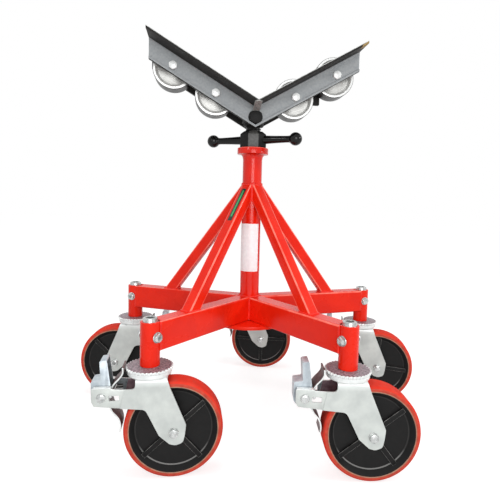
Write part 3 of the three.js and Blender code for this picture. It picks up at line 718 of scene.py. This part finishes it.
# Bands on the sides and low shoulders take the darker red, painted shade.
shaded_side_bands = [i for i, (r, w) in enumerate(tread_profile) if r < 96]
tread = turned("tread", tread_profile, "Y", 160, tinted_bands=shaded_side_bands, sharp=50)
bead_arcs = [circle(1.15, 89.4, side * 23.5, steps=10) for side in (-1, 1)]
bead = joined("bead", [turned("bead", arc, "Y", 160) for arc in bead_arcs])
print("tread profile points:", len(tread_profile))

# %% [markdown]
# The core is cast in one. Its disc and its hub are turned profiles, and two crossed bars make the
# four ribs. A narrow ring at the foot of the dish's slope takes a finish that is greyer low down, a
# painted highlight where that slope faces up to the light.

# %% Wheel core
DISH_FOOT, DISH_EDGE = 76.2, 78.6
core_half = [(89.1, 22.9), (88.4, 23.5), (86.9, 23.5), (86.2, 22.9), (DISH_EDGE, 13.7), (77.6, 12.9),
             (DISH_FOOT, 12.7), (0, 12.7)]
core_profile = core_half + [(r, -w) for r, w in reversed(core_half)]
core_disc = turned("core_disc", core_profile, "Y", 128)
# The ring at the foot of the dish takes the third finish, painted highlight low down.
for face in core_disc.polygons:
    reach = math.hypot(face.center.x, face.center.z) / MM
    if DISH_FOOT < reach < DISH_EDGE and len(face.vertices) == 4:
        face.material_index = 2
rib_outline = [(-82, -5.2), (82, -5.2), (82, 5.2), (-82, 5.2)]
rib = plate("rib", rib_outline, -17.8, 17.8, 0.6, "Y", RIMS)
hub_half = [(22, 24.6), (21, 26.2), (19.8, 26.6), (8, 26.6)]
hub = turned("hub", [(r, -w) for r, w in reversed(hub_half)] + hub_half, "Y", 64)
core = joined("core", [core_disc, rib, hub, (rib, Matrix.Rotation(math.pi / 2, 4, "Y"))])
print("core faces:", len(core.polygons))

# %% [markdown]
# Each wheel has rolled to an angle of its own and rides on its own body. The axle is a bolt that
# doesn't turn with the wheel, so it rides on the caster.

# %% Wheels and axles on their casters
TRAIL = 50
axle = cross_bolt("axle_bolt", 17, 8, 32.2, 12, 20)
for leg in LEGS:
    wheel = f"wheel_{leg}"
    hub_spot = CASTER[leg] @ spot(TRAIL, 0, WHEEL_RADIUS)
    rolled = hub_spot @ Matrix.Rotation(math.radians(WHEEL_TURNS[leg]), 4, "Y")
    put(f"tread_{leg}", tread, [tread_red, tread_side_shade], wheel, rolled, [f"wheel_tread_{leg}"])
    put(f"tread_bead_{leg}", bead, [tread_bead], wheel, rolled, [f"wheel_tread_{leg}"])
    put(f"core_{leg}", core, [black_cast, black_edge_highlight, black_ring], wheel, rolled, [f"wheel_core_{leg}"])
    put(f"axle_bolt_{leg}", axle, [bright], f"caster_{leg}", hub_spot, [f"axle_{leg}"])
print("axles at", WHEEL_RADIUS, "mm, trail", TRAIL, "mm")

# %% [markdown]
# ## Forks
#
# A fork is one sheet of steel, cut flat and bent into a channel. The quickest way to that shape
# is to cross two solids: the channel seen along the trail, and the cheek seen from the side.
# What they share is the bent sheet.


# %% Crossing and cutting solids
def crossed(name, whole, other, how):
    """What one mesh leaves of another: the space they share, or all but that space."""
    body = bpy.data.objects.new(name, whole)
    tool = bpy.data.objects.new(name + "_tool", other)
    for piece in (body, tool):
        bpy.context.scene.collection.objects.link(piece)
    step = body.modifiers.new("step", "BOOLEAN")
    step.operation, step.solver, step.object = how, "EXACT", tool
    graph = bpy.context.evaluated_depsgraph_get()
    mesh = bpy.data.meshes.new_from_object(body.evaluated_get(graph))
    bpy.data.objects.remove(body)
    bpy.data.objects.remove(tool)
    return mesh


def carved(name, whole, cutters):
    """A mesh with others cut out of it, its cut edges crisp."""
    mesh = crossed(name, whole, joined(name, cutters), "DIFFERENCE")
    mesh.set_sharp_from_angle(angle=math.radians(30))
    return mesh


def softened(piece, width):
    """Rounds a piece's edges with a modifier."""
    soft = piece.modifiers.new("soft", "BEVEL")
    soft.width, soft.segments = width * MM, 2
    soft.limit_method, soft.angle_limit = "ANGLE", math.radians(30)
    soft.harden_normals = True


def shade_and_highlight_sheet(mesh, lift, above=0):
    """Paints shade on a sheet's inner faces, and highlight on faces above a height that face up."""
    for face in mesh.polygons:
        if face.normal.y * face.center.y < 0 and abs(face.normal.y) > 0.9:
            face.material_index = 1
        elif face.normal.z > lift and face.center.z > above * MM:
            face.material_index = 2


# %% [markdown]
# The cheek is drawn from the side and the channel from the back. The channel's bends are arcs, and
# between the inner and the outer ones lies the sheet, 5 mm thick at the sides and 6 mm on top.

# %% The bent sheet
CROWN_TOP = 212
cheek = [(35, CROWN_TOP), (-25.5, CROWN_TOP), (-25.5, 190.6), (-46, 190.6), (-54, 153),
         (-6, 148.6), (21, 94), (42, 75.5), (54, 72.5), (69, 77.5), (72.5, 94), (74.6, 114), (43, 189)]
cheek = rounded(cheek, [0, 0, 9, 0, 0, 14, 5, 8, 14, 12, 10, 8, 0], 8)
inner_bend = circle(4, -23, 202, 180, 90, 8) + circle(4, 23, 202, 90, 0, 8)
outer_bend = circle(9, 23, 203, 0, 90, 10) + circle(9, -23, 203, 90, 180, 10)
channel_outline = [(-32, 60), (-27, 60)] + inner_bend + [(27, 60), (32, 60)] + outer_bend
channel = plate("channel", channel_outline, -90, 120, 0.01, "X")
fork_sheet = crossed("fork_sheet", channel, plate("cheek", cheek, -45, 45, 0.01, "Y"), "INTERSECT")
# Painted shade inside the fork, painted highlight on its crown.
shade_and_highlight_sheet(fork_sheet, 0.35, 205)
print("fork sheet faces:", len(fork_sheet.polygons))

# %% [markdown]
# On the crown lies the ball race that the caster swivels on. Behind the two arms of the fork stand
# the brake's plates, each with a square window, and the pedal's pivot bolt goes through both.

# %% Race and brake plates
race = turned("race", [(8.5, CROWN_TOP - 0.5), (40, CROWN_TOP - 0.5), (42.4, 212.3), (43.9, 213.6),
                       (44.5, 215.6), (44.5, 218.2), (43.6, 218.8), (43.6, 219.4), (44.5, 220),
                       (44.5, 222.2), (43.7, 223), (8.5, 223)], steps=128)
plate_outline = rounded([(-108.5, 194.6), (-108.5, 168), (-104, 158.6), (-50, 153), (-43, 190.4),
                         (-69, 192), (-74, 194.6)], [3, 6, 4, 0, 0, 8, 6], 5)


def windowed(name, base, top):
    """One of the brake's plates, with the square window through it."""
    window = [(-75.5, 168.9), (-56.2, 168.9), (-56.2, 179.2), (-75.5, 179.2)]
    block = plate(name + "_window", window, base - 5, top + 5, 0.01, "Y")
    return carved(name, plate(name, plate_outline, base, top, 0.4, "Y"), [block])


brake_parts = [windowed("near_plate", -30.6, -28.1), windowed("far_plate", 28.1, 30.6)]
for side in (-1, 1):
    low_y, high_y = sorted((side * 18.4, side * 30.4))
    lip = rounded([(-106, low_y), (-72, low_y), (-72, high_y), (-106, high_y)], 1.5, 3)
    brake_parts.append(plate("lip", lip, 192.2, 194.7, 1.0))
brake_plates = joined("brake_plates", brake_parts)
# Painted shade inside the brake plates, painted highlight on faces that face up.
shade_and_highlight_sheet(brake_plates, 0.3)
print("brake plate points:", len(plate_outline))

# %% [markdown]
# The brake's spring strip is hooked over the toothed plate at its top, and ends by the tread at its
# foot. A smooth line through a few points gives its run, and a flat section follows it.


# %% Spring strip
def smooth_line(points, steps=8):
    """A curve through all points of a line."""
    line = [Vector(points[0])] + [Vector(point) for point in points] + [Vector(points[-1])]
    made = []
    for i in range(1, len(line) - 2):
        a, b, c, d = line[i - 1: i + 3]
        for s in range(steps):
            t = s / steps
            made.append(0.5 * (2 * b + (c - a) * t + (2 * a - 5 * b + 4 * c - d) * t * t
                               + (3 * b - a - 3 * c + d) * t ** 3))
    made.append(line[-1])
    return made


def strip_outline(line, thickness):
    """The outline of a strip of even thickness along a line."""
    left, right = [], []
    for i, point in enumerate(line):
        along = (line[min(i + 1, len(line) - 1)] - line[max(i - 1, 0)]).normalized()
        off = Vector((-along.y, along.x)) * thickness / 2
        left.append(point + off)
        right.append(point - off)
    return [tuple(point) for point in left + right[::-1]]


strip_line = smooth_line([(-50.9, 231), (-50.9, 220), (-56, 211), (-66, 200), (-71.5, 190), (-76, 172),
                          (-75.5, 155), (-70, 142), (-59.5, 129.5), (-55.3, 118), (-54.6, 109), (-56, 101)])
strip = plate("strip", strip_outline(strip_line, 3), -21, 21, 0.4, "Y", WALL)
print("points along the strip:", len(strip_line))

# %% [markdown]
# The pedal is pressed into a channel that is open below and towards the fork. Its own outline, made
# narrower and moved that way by the sheet's thickness, cuts the hollow. A tube through its two sides
# turns on the pivot bolt.

# %% Pedal
PIVOT = (-90, 0, 176)
SHEET = 2.6
pedal_outline = rounded([(15.5, 20), (8.4, 70.3), (-5.7, 68.4), (-3.3, 30.6), (-21.7, 28.3), (-21.5, -10),
                         (-17, -17), (0, -17), (8.5, -9)], [2, 3, 4.5, 3, 4, 5, 4, 5, 6], 6)
pocket = [(x + SHEET, z - SHEET) for x, z in pedal_outline]
pedal_channel = carved("pedal", plate("pedal", pedal_outline, -17.4, 17.4, 0.01, "Y"),
                       [plate("pocket", pocket, SHEET - 17.4, 17.4 - SHEET, 0.01, "Y")])
tube = turned("tube", [(5.2, -27.8), (8, -27.8), (8, 27.8), (5.2, 27.8)], "Y", 40)
pedal_channel = joined("pedal", [pedal_channel, tube])
# The channel's inner faces take the darker zinc, painted shade.
for face in pedal_channel.polygons:
    if abs(face.center.y / MM) < 14.9 and abs(face.normal.y) > 0.9:
        face.material_index = 1
print("pedal faces:", len(pedal_channel.polygons))

# %% [markdown]
# All that is fixed to a fork swivels with it, so it rides on the caster's body. The pedal tips on
# the pivot bolt and has a body of its own. Sheet has no knife edges, so both are softened a little.

# %% Everything on a fork
pin = turned("pin", [(0, -31.8), (2.6, -31.8), (3, -31.2), (3, 31.2), (2.6, 31.8), (0, 31.8)], "Y", 32)
strip_pin = joined("strip_pin", [(pin, spot(-72, 0, 178))])
pivot = joined("pivot", [(cross_bolt("pivot", 16, 4.5, 30.7, 10, 18), spot(*PIVOT))])
on_fork = (("fork_sheet", fork_sheet, [zinc, zinc_inside_shade, zinc_highlight], "zinc_plate"),
           ("race", race, [zinc_highlight], "zinc_plate"),
           ("brake_plates", brake_plates, [zinc, zinc_shade, zinc_highlight], "zinc_plate"),
           ("brake_strip", strip, [zinc_highlight, strip_steel], "zinc_plate"),
           ("strip_pin", strip_pin, [bright], "bright_steel"),
           ("pivot_bolt", pivot, [bright], "bright_steel"))
for leg in LEGS:
    for name, mesh, finishes, slot in on_fork:
        piece = put(f"{name}_{leg}", mesh, finishes, f"caster_{leg}", CASTER[leg], [f"fork_{leg}"])
        if mesh is fork_sheet:
            softened(piece, 0.7)
    pedal = put(f"pedal_channel_{leg}", pedal_channel, [zinc_blue, zinc_shade], f"pedal_{leg}",
                CASTER[leg] @ spot(*PIVOT), [f"brake_pedal_{leg}"])
    softened(pedal, 0.8)
print("pieces on each fork:", len(on_fork))

# %% [markdown]
# ## Caster stems
#
# The stem doesn't swivel. It fills the socket, is held by a cross bolt and shows as a bright end
# with a hollow on top. At its foot is the toothed plate that the brake's hook locks into.

# %% Stem, toothed plate and cross bolt
TEETH = 36
teeth = []
for i in range(TEETH):
    for share, reach in ((0.0, 44.6), (0.2, 44.6), (0.4, 47.3), (0.7, 47.3), (0.9, 44.6)):
        angle = 2 * math.pi * (i + share) / TEETH
        teeth.append((reach * math.cos(angle), reach * math.sin(angle)))
tooth_plate = plate("tooth_plate", teeth, 223.3, 228.3, 0.5, tinted_bands=RIMS + WALL)
stem_rod = turned("stem_rod", [(0, 228), (15, 228), (15, 323.6), (14.4, 325.6), (12.6, 326.6),
                               (9.6, 326.6), (9, 326), (9, 313), (0, 313)], steps=64)
kingpin = hexagon_head("kingpin", 22, 8)
king = joined("king", [(kingpin, spot(0, 0, 205.7) @ Matrix.Rotation(math.pi, 4, "X"))])
stem_bolt = joined("stem_bolt", [(cross_bolt("stem_bolt", 17, 7, 20.3, 10, 22), spot(0, 0, 288.6))])
on_stem = (("tooth_plate", tooth_plate, [zinc_dark, zinc_highlight], "zinc_plate"),
           ("stem_rod", stem_rod, [bright], "zinc_plate"),
           ("kingpin_nut", king, [zinc_dark], "zinc_plate"),
           ("stem_bolt", stem_bolt, [bright], "bright_steel"))
for leg in LEGS:
    for name, mesh, finishes, slot in on_stem:
        put(f"{name}_{leg}", mesh, finishes, "base", STEM[leg], [f"caster_stem_{leg}"])
print("teeth:", TEETH)

# %% [markdown]
# ## Jack nut
#
# The nut is a casting: an eight-sided hub with a sloping top, and two handles that end in balls.
# The hub is a stack of rounded octagons, and each handle is one turned profile, ball and all.

# %% Nut and handles
NUT = STAND @ spot(turn=-22.5)
octagon = rounded(circle(36, steps=8), 3.5, 4)
hub_levels = [(0.955, 702.9), (0.985, 703.4), (1, 704.8), (1, 735.2), (0.985, 737), (0.93, 738.8),
              (0.72, 744.4), (0.69, 744.9), (0.59, 744.9), (0.585, 743.6)]
hub_rings = [[(x * scale, y * scale, level) for x, y in octagon] for scale, level in hub_levels]
nut_hub = loft("nut_hub", hub_rings, sharp=30)
# The flat that faces the front takes the paler grey, painted highlight.
FRONT_FLAT = math.radians(-67.5)
for face in nut_hub.polygons:
    off = math.atan2(face.normal.y, face.normal.x) - FRONT_FLAT
    if abs(off) < math.radians(9) and abs(face.normal.z) < 0.9:
        face.material_index = 1
MIDDLE = (702.9 + 744.9) / 2
BALL_AT, BALL = 114, 16.5
ball_arc = [(BALL * math.sin(math.radians(a)), BALL_AT + BALL * math.cos(math.radians(a)))
            for a in range(144, -1, -6)]
arm_profile = [(0, 22), (12.5, 22), (11.6, 31), (10.6, 36), (9.4, 60), (8.4, 90), (8.5, 96),
               (9.0, 99)] + ball_arc
handle = turned("handle", arm_profile, "X", 48, sharp=40)
put("jack_nut_hub", nut_hub, [black_cast, nut_flat_highlight], "nut", NUT, ["jack_nut"])
for name, turn in (("right", 0), ("left", 180)):
    put(f"jack_nut_handle_{name}", handle, [handle_black], "nut", NUT @ spot(0, 0, MIDDLE, turn),
        ["jack_nut"])
print("handle reach in mm:", BALL_AT + BALL)

# %% [markdown]
# ## Jack screw
#
# The screw is 40 mm across with a thread of 6 mm pitch. Each turn of the nut lifts it by one pitch,
# as the joints say. A thread is a radius that depends on height and angle together, so a fine
# grid of points round the rod gives a true right-hand helix. Only what can show is threaded.

# %% Screw
PITCH = 6
CREST, ROOT, SCREW_SIDES, LEVELS_A_TURN = 20, 17.3, 48, 12
THREAD_TOP, THREAD_BASE, SCREW_FOOT = 756.2, 492, 336.6


def thread_radius(phase):
    """Radius of the thread at a share of its pitch: crest, flank, root, flank."""
    share = phase % 1
    if share < 0.34:
        return CREST
    if share < 0.5:
        return CREST - (CREST - ROOT) * (share - 0.34) / 0.16
    if share < 0.84:
        return ROOT
    return ROOT + (CREST - ROOT) * (share - 0.84) / 0.16


def screw_ring(level, radius=None):
    """A ring round the rod at a height, on the thread if no radius is given."""
    ring = []
    for i in range(SCREW_SIDES):
        angle = 2 * math.pi * i / SCREW_SIDES
        reach = radius or thread_radius(level / PITCH - i / SCREW_SIDES)
        ring.append((reach * math.cos(angle), reach * math.sin(angle), level))
    return ring


level_count = int((THREAD_TOP - THREAD_BASE) * LEVELS_A_TURN / PITCH) + 1
threaded = [screw_ring(THREAD_BASE + i * PITCH / LEVELS_A_TURN) for i in range(level_count)]
below = [screw_ring(SCREW_FOOT, 18.5), screw_ring(SCREW_FOOT + 1.5, CREST),
         screw_ring(THREAD_BASE - 1, CREST)]
above = [screw_ring(757.2, 17), screw_ring(757.2, 13), screw_ring(700, 12.9)]
screw = loft("screw", below + threaded + above, sharp=50)
put("jack_screw_rod", screw, [oiled], "screw", STAND, ["jack_screw"])
print("turns of thread:", round((THREAD_TOP - THREAD_BASE) / PITCH, 1))

# %% [markdown]
# ## Head
#
# Two V frames of angle section stand back to back, and a saddle between them has the shank that
# turns in the top of the screw. A frame is one section drawn three times, at both ends and at the
# mitre in the middle, with skin between. Its wide leg is on top and a small lip runs along its foot.

# %% Section of a V frame
ARM_ANGLE = math.radians(30)
SLOPE, UPRIGHT = math.tan(ARM_ANGLE), 1 / math.cos(ARM_ANGLE)
FLANGE_CREST, WEB_INNER, ARM_SPAN = 805.4, 34, 261.86
angle_section = rounded([(0, 0), (70, 0), (70, 6), (6, 6), (6, 42.5), (10, 42.5), (10, 48.5), (0, 48.5)],
                        [1.2, 1.6, 1.2, 5, 1.0, 1.2, 1.4, 1.0], 4)
print("points on the section:", len(angle_section))


def section_tint(here, there):
    """0 is the grey paint, 1 the painted shade below and inside, 2 the painted highlight on the rolled edges.
    """
    out, deep = (here[0] + there[0]) / 2, (here[1] + there[1]) / 2
    rolled_edge = deep < 1.5 and out > 68.3
    lip = 6.2 < out < 8.6 and deep > 40
    under_flange = 1.5 <= deep <= 6.1 and out > 9
    inside = out < 0.5 and deep > 2
    if rolled_edge:
        return 2
    return 1 if lip or under_flange or inside or deep > 47.5 else 0


def v_frame(name, side):
    """One V frame, on the front (-1) or the rear (1), in the head's own millimetres."""
    points, faces, tints = [], [], []
    for x in (-ARM_SPAN, 0, ARM_SPAN):
        for out, deep in angle_section:
            points.append((x, side * (WEB_INNER + out), FLANGE_CREST + abs(x) * SLOPE - deep * UPRIGHT))
    count = len(angle_section)
    for i in range(2):
        for j in range(count):
            k = (j + 1) % count
            faces.append((i * count + j, i * count + k, (i + 1) * count + k, (i + 1) * count + j))
            tints.append(section_tint(angle_section[j], angle_section[k]))
    faces += [tuple(range(count)), tuple(range(2 * count, 3 * count))]
    return skin(name, points, faces, tints + [0, 0], 30)


# %% [markdown]
# Holes are cut with a solid of their own shape. All the cutters of a frame are joined first, so one
# cut makes the bolt holes, the drain hole and the slot that the mitre leaves at the front. A small
# plate with two holes is welded under each mitre, and rises a little on its way out from the web.


# %% V frames
ROLLER_XS = (-203.92, -100, 100, 203.92)


def roller_z(x):
    return FLANGE_CREST + abs(x) * SLOPE - 30 * UPRIGHT


TAB_INNER, TAB_FOOT, TAB_HALF, TAB_LENGTH, TAB_RISE = 39.5, 785, 8.6, 67, math.radians(13.2)
tab_outline = rounded([(-TAB_HALF, 0), (TAB_HALF, 0), (TAB_HALF, TAB_LENGTH), (-TAB_HALF, TAB_LENGTH)],
                      [0.5, 0.5, 6, 6], 5)
tab = plate("tab", tab_outline, 0, 5.6, 1.2)
tab = carved("tab", tab, [plate("hole", circle(2.3, 0, y, steps=16), -2, 8, 0.01) for y in (33, 50)])
HEAD_BOLT = 774.9
for name, side in (("v_frame_front", -1), ("v_frame_rear", 1)):
    front, back = sorted((side * 30, side * 60))
    slot_start, slot_end = sorted((side * 90, side * 110))
    cutters = [plate("hole", circle(6.3, x, roller_z(x), steps=24), front, back, 0.01, "Y")
               for x in ROLLER_XS]
    cutters.append(plate("hole", circle(10.3, 0, HEAD_BOLT, steps=32), front, back, 0.01, "Y"))
    cutters.append(plate("drain", circle(2.5, 4.5, side * 55, steps=20), 780, 830, 0.01))
    cutters.append(plate("slot", [(-1, slot_start), (1, slot_start), (1, slot_end), (-1, slot_end)],
                         794, 830, 0.01))
    drilled = carved(name, v_frame(name, side), cutters)
    put(f"{name}_angle", drilled, [head_grey, head_shade, head_highlight], "head", HEAD, [name])
    tab_spot = HEAD @ spot(0, side * TAB_INNER, TAB_FOOT, 180 if side < 0 else 0)
    put(f"{name}_tab", tab, [head_tab, head_shade], "head", tab_spot @ Matrix.Rotation(TAB_RISE, 4, "X"),
        [name])
print("V frames: crest at", FLANGE_CREST, "mm, arms reach", ARM_SPAN, "mm")

# %% [markdown]
# A small stop hangs inside the rear web between the right arm's rollers, and is painted dark all
# over as shade. The front flange's right end is rubbed through to a tan primer.

# %% Stop and worn end
LUG_INNER, LUG_OUTER = 158.5, 178.5
lug_foot = 735.4 + LUG_INNER * SLOPE
lug_top = lug_foot + 38.2
lug_outline = [(LUG_INNER, lug_foot), (LUG_OUTER, lug_foot), (LUG_OUTER, lug_top), (LUG_INNER, lug_top)]
lug = plate("lug", rounded(lug_outline, 1.5, 3), 24, 34.8, 0.8, "Y")
# The stop takes the dark finish all over, painted shade.
put("lug_plate", lug, [head_shade], "head", HEAD, ["v_frame_rear"])


def on_flange(x, out, deep):
    """A point of the front flange's right arm, out from the web and down from its top."""
    return (x, -(WEB_INNER + out), FLANGE_CREST + x * SLOPE - deep * UPRIGHT)


END = ARM_SPAN - 0.1
under = [(END, 69.6), (END - 15, 69.6), (END - 20, 66), (END - 16, 60), (END - 17, 55), (END - 9, 51),
         (END, 50)]
rim = [(END, 1.6), (END - 13, 1.8), (END - 17, 5.4), (END, 5.8)]
patches = [loft("under", [[on_flange(x, out, deep) for x, out in under] for deep in (5.9, 6.15)]),
           loft("rim", [[on_flange(x, out, deep) for x, deep in rim] for out in (69.9, 70.12)])]
put("worn_end", joined("worn_end", patches), [worn_end], "head", HEAD)
print("worn end from x", round(END - 20, 1), "mm")

# %% [markdown]
# The saddle is a casting: a block between the two webs, a round boss that bears on the screw's top,
# and a shank below. One long bolt with washers holds both frames to it.

# %% Saddle
boss = turned("boss", [(0, 757.5), (24.6, 757.5), (26, 758.9), (26, 768), (27.5, 769.5), (0, 769.5)],
              steps=72)
block = plate("block", rounded([(-28, -33.7), (28, -33.7), (28, 33.7), (-28, 33.7)], 2, 4), 769.5, 798.2,
              1.2)
shank = turned("shank", [(0, 707.5), (11.5, 707.5), (12.5, 708.5), (12.5, 758), (0, 758)], steps=48)
put("saddle", joined("saddle", [boss, block, shank]), [black_cast], "head", HEAD, ["head_saddle"])
head_bolt = cross_bolt("head_bolt_hex", 30, 13, 40.3, 20, 36, 0.9)
put("head_bolt_hex", head_bolt, [black_cast], "head", HEAD @ spot(0, 0, HEAD_BOLT), ["head_bolt"])
print("saddle faces:", len(boss.polygons) + len(block.polygons) + len(shank.polygons))

# %% [markdown]
# ## Rollers
#
# The rollers are turned from steel. Each face is dished between a rim and the hub, and the tool
# leaves fine rings on it. The rim is painted pale as highlight and the outside dark as shade. Their
# bolts go through both webs, with white zinc hexagons outside, painted nearly white as highlight.

# %% Rollers and their bolts
roller_half = [(51, 20.8), (50.2, 21.8), (49.2, 22), (45, 22), (44.2, 21.4), (41.5, 15), (39.8, 13.4),
               (37.5, 13), (17, 13), (14.6, 14), (14, 16), (14, 33.2), (13.4, 33.6), (6.4, 33.6)]
roller_profile = [(r, -w) for r, w in reversed(roller_half)] + roller_half
roller = turned("roller_wheel", roller_profile, "Y", 128)
roller_bolt = cross_bolt("roller_bolt_hex", 19, 8, 40.2, 12)
for number, x in enumerate(ROLLER_XS, 1):
    where = HEAD @ spot(x, 0, roller_z(x))
    put(f"roller_wheel_{number}", roller, [roller_steel], f"roller_body_{number}", where,
        [f"roller_{number}"], own_axes=True)
    put(f"roller_bolt_hex_{number}", roller_bolt, [white_zinc_highlight], "head", where,
        [f"roller_bolt_{number}"])
print("roller axes at z", [round(roller_z(x), 1) for x in ROLLER_XS])

# %% [markdown]
# ## Label and strip
#
# A blank white label is wrapped on the front of the column, and a dark strip with a plain green band
# lies on the front left brace. Both are thin film, so each is a patch just proud of its paint.


# %% Film
def wrapped(name, radius, middle, width, base, top):
    """A patch of film on a round tube, as a thin shell."""
    half = math.degrees(width / radius) / 2
    outer = circle(radius + 0.25, start=middle - half, end=middle + half, steps=24)
    inner = circle(radius, start=middle + half, end=middle - half, steps=24)
    return plate(name, outer + inner, base, top, 0.05)


def film(name, half, foot, top, base):
    """A flat rounded patch of film, a quarter of a millimetre thick."""
    outline = rounded([(-half, foot), (half, foot), (half, top), (-half, top)], 1, 3)
    return plate(name, outline, base, base + 0.25, 0.05)


label = wrapped("label", COLUMN_RADIUS + 0.05, -106, 57, 384, 508)
put("blank_label", label, [label_white], "base", STAND)
lie = Matrix((Vector((0, -1, 0)), slope_up, outward)).transposed().to_4x4()
film_at = FOOT + slope_up * 299 + outward * 0.02
film_spot = LEG[3] @ Matrix.Translation(film_at * MM) @ lie
put("blank_strip", film("film", 6.5, -50, 50, 0), [strip_dark], "base", film_spot)
put("blank_strip_band", film("band", 2.6, -38, 44, 0.2), [strip_green], "base", film_spot)
print("strip at z", round(film_at.z))

# %% [markdown]
# ## Studio
#
# The photograph was taken from close by, a little above the middle of the stand, against white. To
# the stand, the floor and the world are only a soft grey that fills in its shadows. A light path node
# tells who is asking, and to the camera, to gloss and to glass, both are white.


# %% Floor and world
def seen_directly(tree):
    """1 for what the camera, a glossy surface or glass sees, and 0 for the light on the stand."""
    path = tree.nodes.new("ShaderNodeLightPath").outputs
    share = path["Is Camera Ray"]
    for ray in ("Is Transmission Ray", "Is Glossy Ray"):
        larger = add(tree, "Math", {"operation": "MAXIMUM"})
        tree.links.new(share, larger.inputs[0])
        tree.links.new(path[ray], larger.inputs[1])
        share = larger.outputs[0]
    return share


HALF_FLOOR = 12
FLOOR_GREY, FLOOR_GLOW, WORLD_FILL = 0.5, 0.68, 0.64
corners_of_floor = [(x * HALF_FLOOR, y * HALF_FLOOR, 0) for x, y in ((-1, -1), (1, -1), (1, 1), (-1, 1))]
floor_mesh = bpy.data.meshes.new("floor")
floor_mesh.from_pydata(corners_of_floor, [], [(0, 1, 2, 3)])
floor = bpy.data.objects.new("floor", floor_mesh)
bpy.context.scene.collection.objects.link(floor)
pale = bpy.data.materials.new("pale_floor")
pale.use_nodes = True
tree = pale.node_tree
shader = tree.nodes["Principled BSDF"]
shader.inputs["Base Color"].default_value = (FLOOR_GREY, FLOOR_GREY, FLOOR_GREY, 1)
shader.inputs["Roughness"].default_value = 0.9
shader.inputs["Specular IOR Level"].default_value = 0.0
lift = add(tree, "Math", {"operation": "MULTIPLY"})
tree.links.new(seen_directly(tree), lift.inputs[0])
lift.inputs[1].default_value = FLOOR_GLOW
glow = add(tree, "Emission", Color=(1, 1, 1, 1), Strength=lift.outputs[0])
both = tree.nodes.new("ShaderNodeAddShader")
tree.links.new(shader.outputs[0], both.inputs[0])
tree.links.new(glow.outputs[0], both.inputs[1])
tree.links.new(both.outputs[0], tree.nodes["Material Output"].inputs["Surface"])
floor_mesh.materials.append(pale)

world = bpy.data.worlds.new("studio")
bpy.context.scene.world = world
world.use_nodes = True
tree = world.node_tree
fill = tree.nodes["Background"]
fill.inputs["Color"].default_value = (1, 1, 1, 1)
fill.inputs["Strength"].default_value = WORLD_FILL
white = add(tree, "Background", Color=(1, 1, 1, 1), Strength=1.0)
choose = add(tree, "MixShader", Fac=seen_directly(tree))
tree.links.new(fill.outputs[0], choose.inputs[1])
tree.links.new(white.outputs[0], choose.inputs[2])
tree.links.new(choose.outputs[0], tree.nodes["World Output"].inputs["Surface"])
print("floor in metres across:", 2 * HALF_FLOOR)

# %% [markdown]
# Four soft lamps do the rest. The largest stands in front, one hangs above, one lights the right
# side, and a small one at the left puts narrow glints on the handles, the bolts and the tubes.


# %% Lamps
def lamp(name, where, aim, size, power):
    """A square soft lamp at a place in metres, turned to a point."""
    light = bpy.data.lights.new(name, "AREA")
    light.size, light.energy = size, power
    holder = bpy.data.objects.new(name, light)
    bpy.context.scene.collection.objects.link(holder)
    holder.location = where
    holder.rotation_mode = "QUATERNION"
    holder.rotation_quaternion = (Vector(aim) - Vector(where)).to_track_quat("-Z", "Y")
    return holder


lamp("front_lamp", (0.3, -2.8, 1.0), (0, 0, 0.5), 1.5, 37)
lamp("top_lamp", (-0.2, -0.3, 2.9), (0, 0, 0.4), 0.9, 16)
lamp("side_lamp", (2.4, -0.6, 1.4), (0, 0, 0.5), 0.4, 15)
lamp("glint_lamp", (-1.6, -2.2, 2.0), (0, 0, 0.7), 0.25, 5)

# %% [markdown]
# ## Camera
#
# The camera's place, tilt and focal length come from matching the stand's known points, such as
# wheel centres, roller bolts and socket tops, to where they lie in the photograph. The middle of
# the lens falls some pixels off the middle of the picture, and the shift takes that up.

# %% Camera
FOCAL_PIXELS, PICTURE, SENSOR = 439.4, 500, 36
CENTRE_X, CENTRE_Y = 253.4, 235.1
CAMERA_FROM_COLUMN = Vector((-15.9, -1153.8, 561.3))
yaw, pitch, roll = math.radians(-1.14), math.radians(-4.16), math.radians(1.46)
forward = Vector((-math.sin(yaw) * math.cos(pitch), math.cos(yaw) * math.cos(pitch), math.sin(pitch)))
level_right = Vector((math.cos(yaw), math.sin(yaw), 0))
level_up = level_right.cross(forward)
right = level_right * math.cos(roll) + level_up * math.sin(roll)
up = level_up * math.cos(roll) - level_right * math.sin(roll)
lens = bpy.data.cameras.new("camera")
lens.sensor_width = SENSOR
lens.lens = FOCAL_PIXELS * SENSOR / PICTURE
lens.shift_x = (PICTURE / 2 - CENTRE_X) / PICTURE
lens.shift_y = (CENTRE_Y - PICTURE / 2) / PICTURE
camera = bpy.data.objects.new("camera", lens)
bpy.context.scene.collection.objects.link(camera)
turn = Matrix((right, up, -forward)).transposed().to_4x4()
camera.matrix_world = Matrix.Translation(COLUMN + CAMERA_FROM_COLUMN * MM) @ turn
bpy.context.scene.camera = camera
bpy.context.scene.view_settings.view_transform = "Standard"
print("camera at", [round(v, 3) for v in camera.matrix_world.translation])

# %% [markdown]
# ## The end
#
# The dressed stand may not be larger than its CAD model.

# %% Finish
bpy.context.view_layer.update()
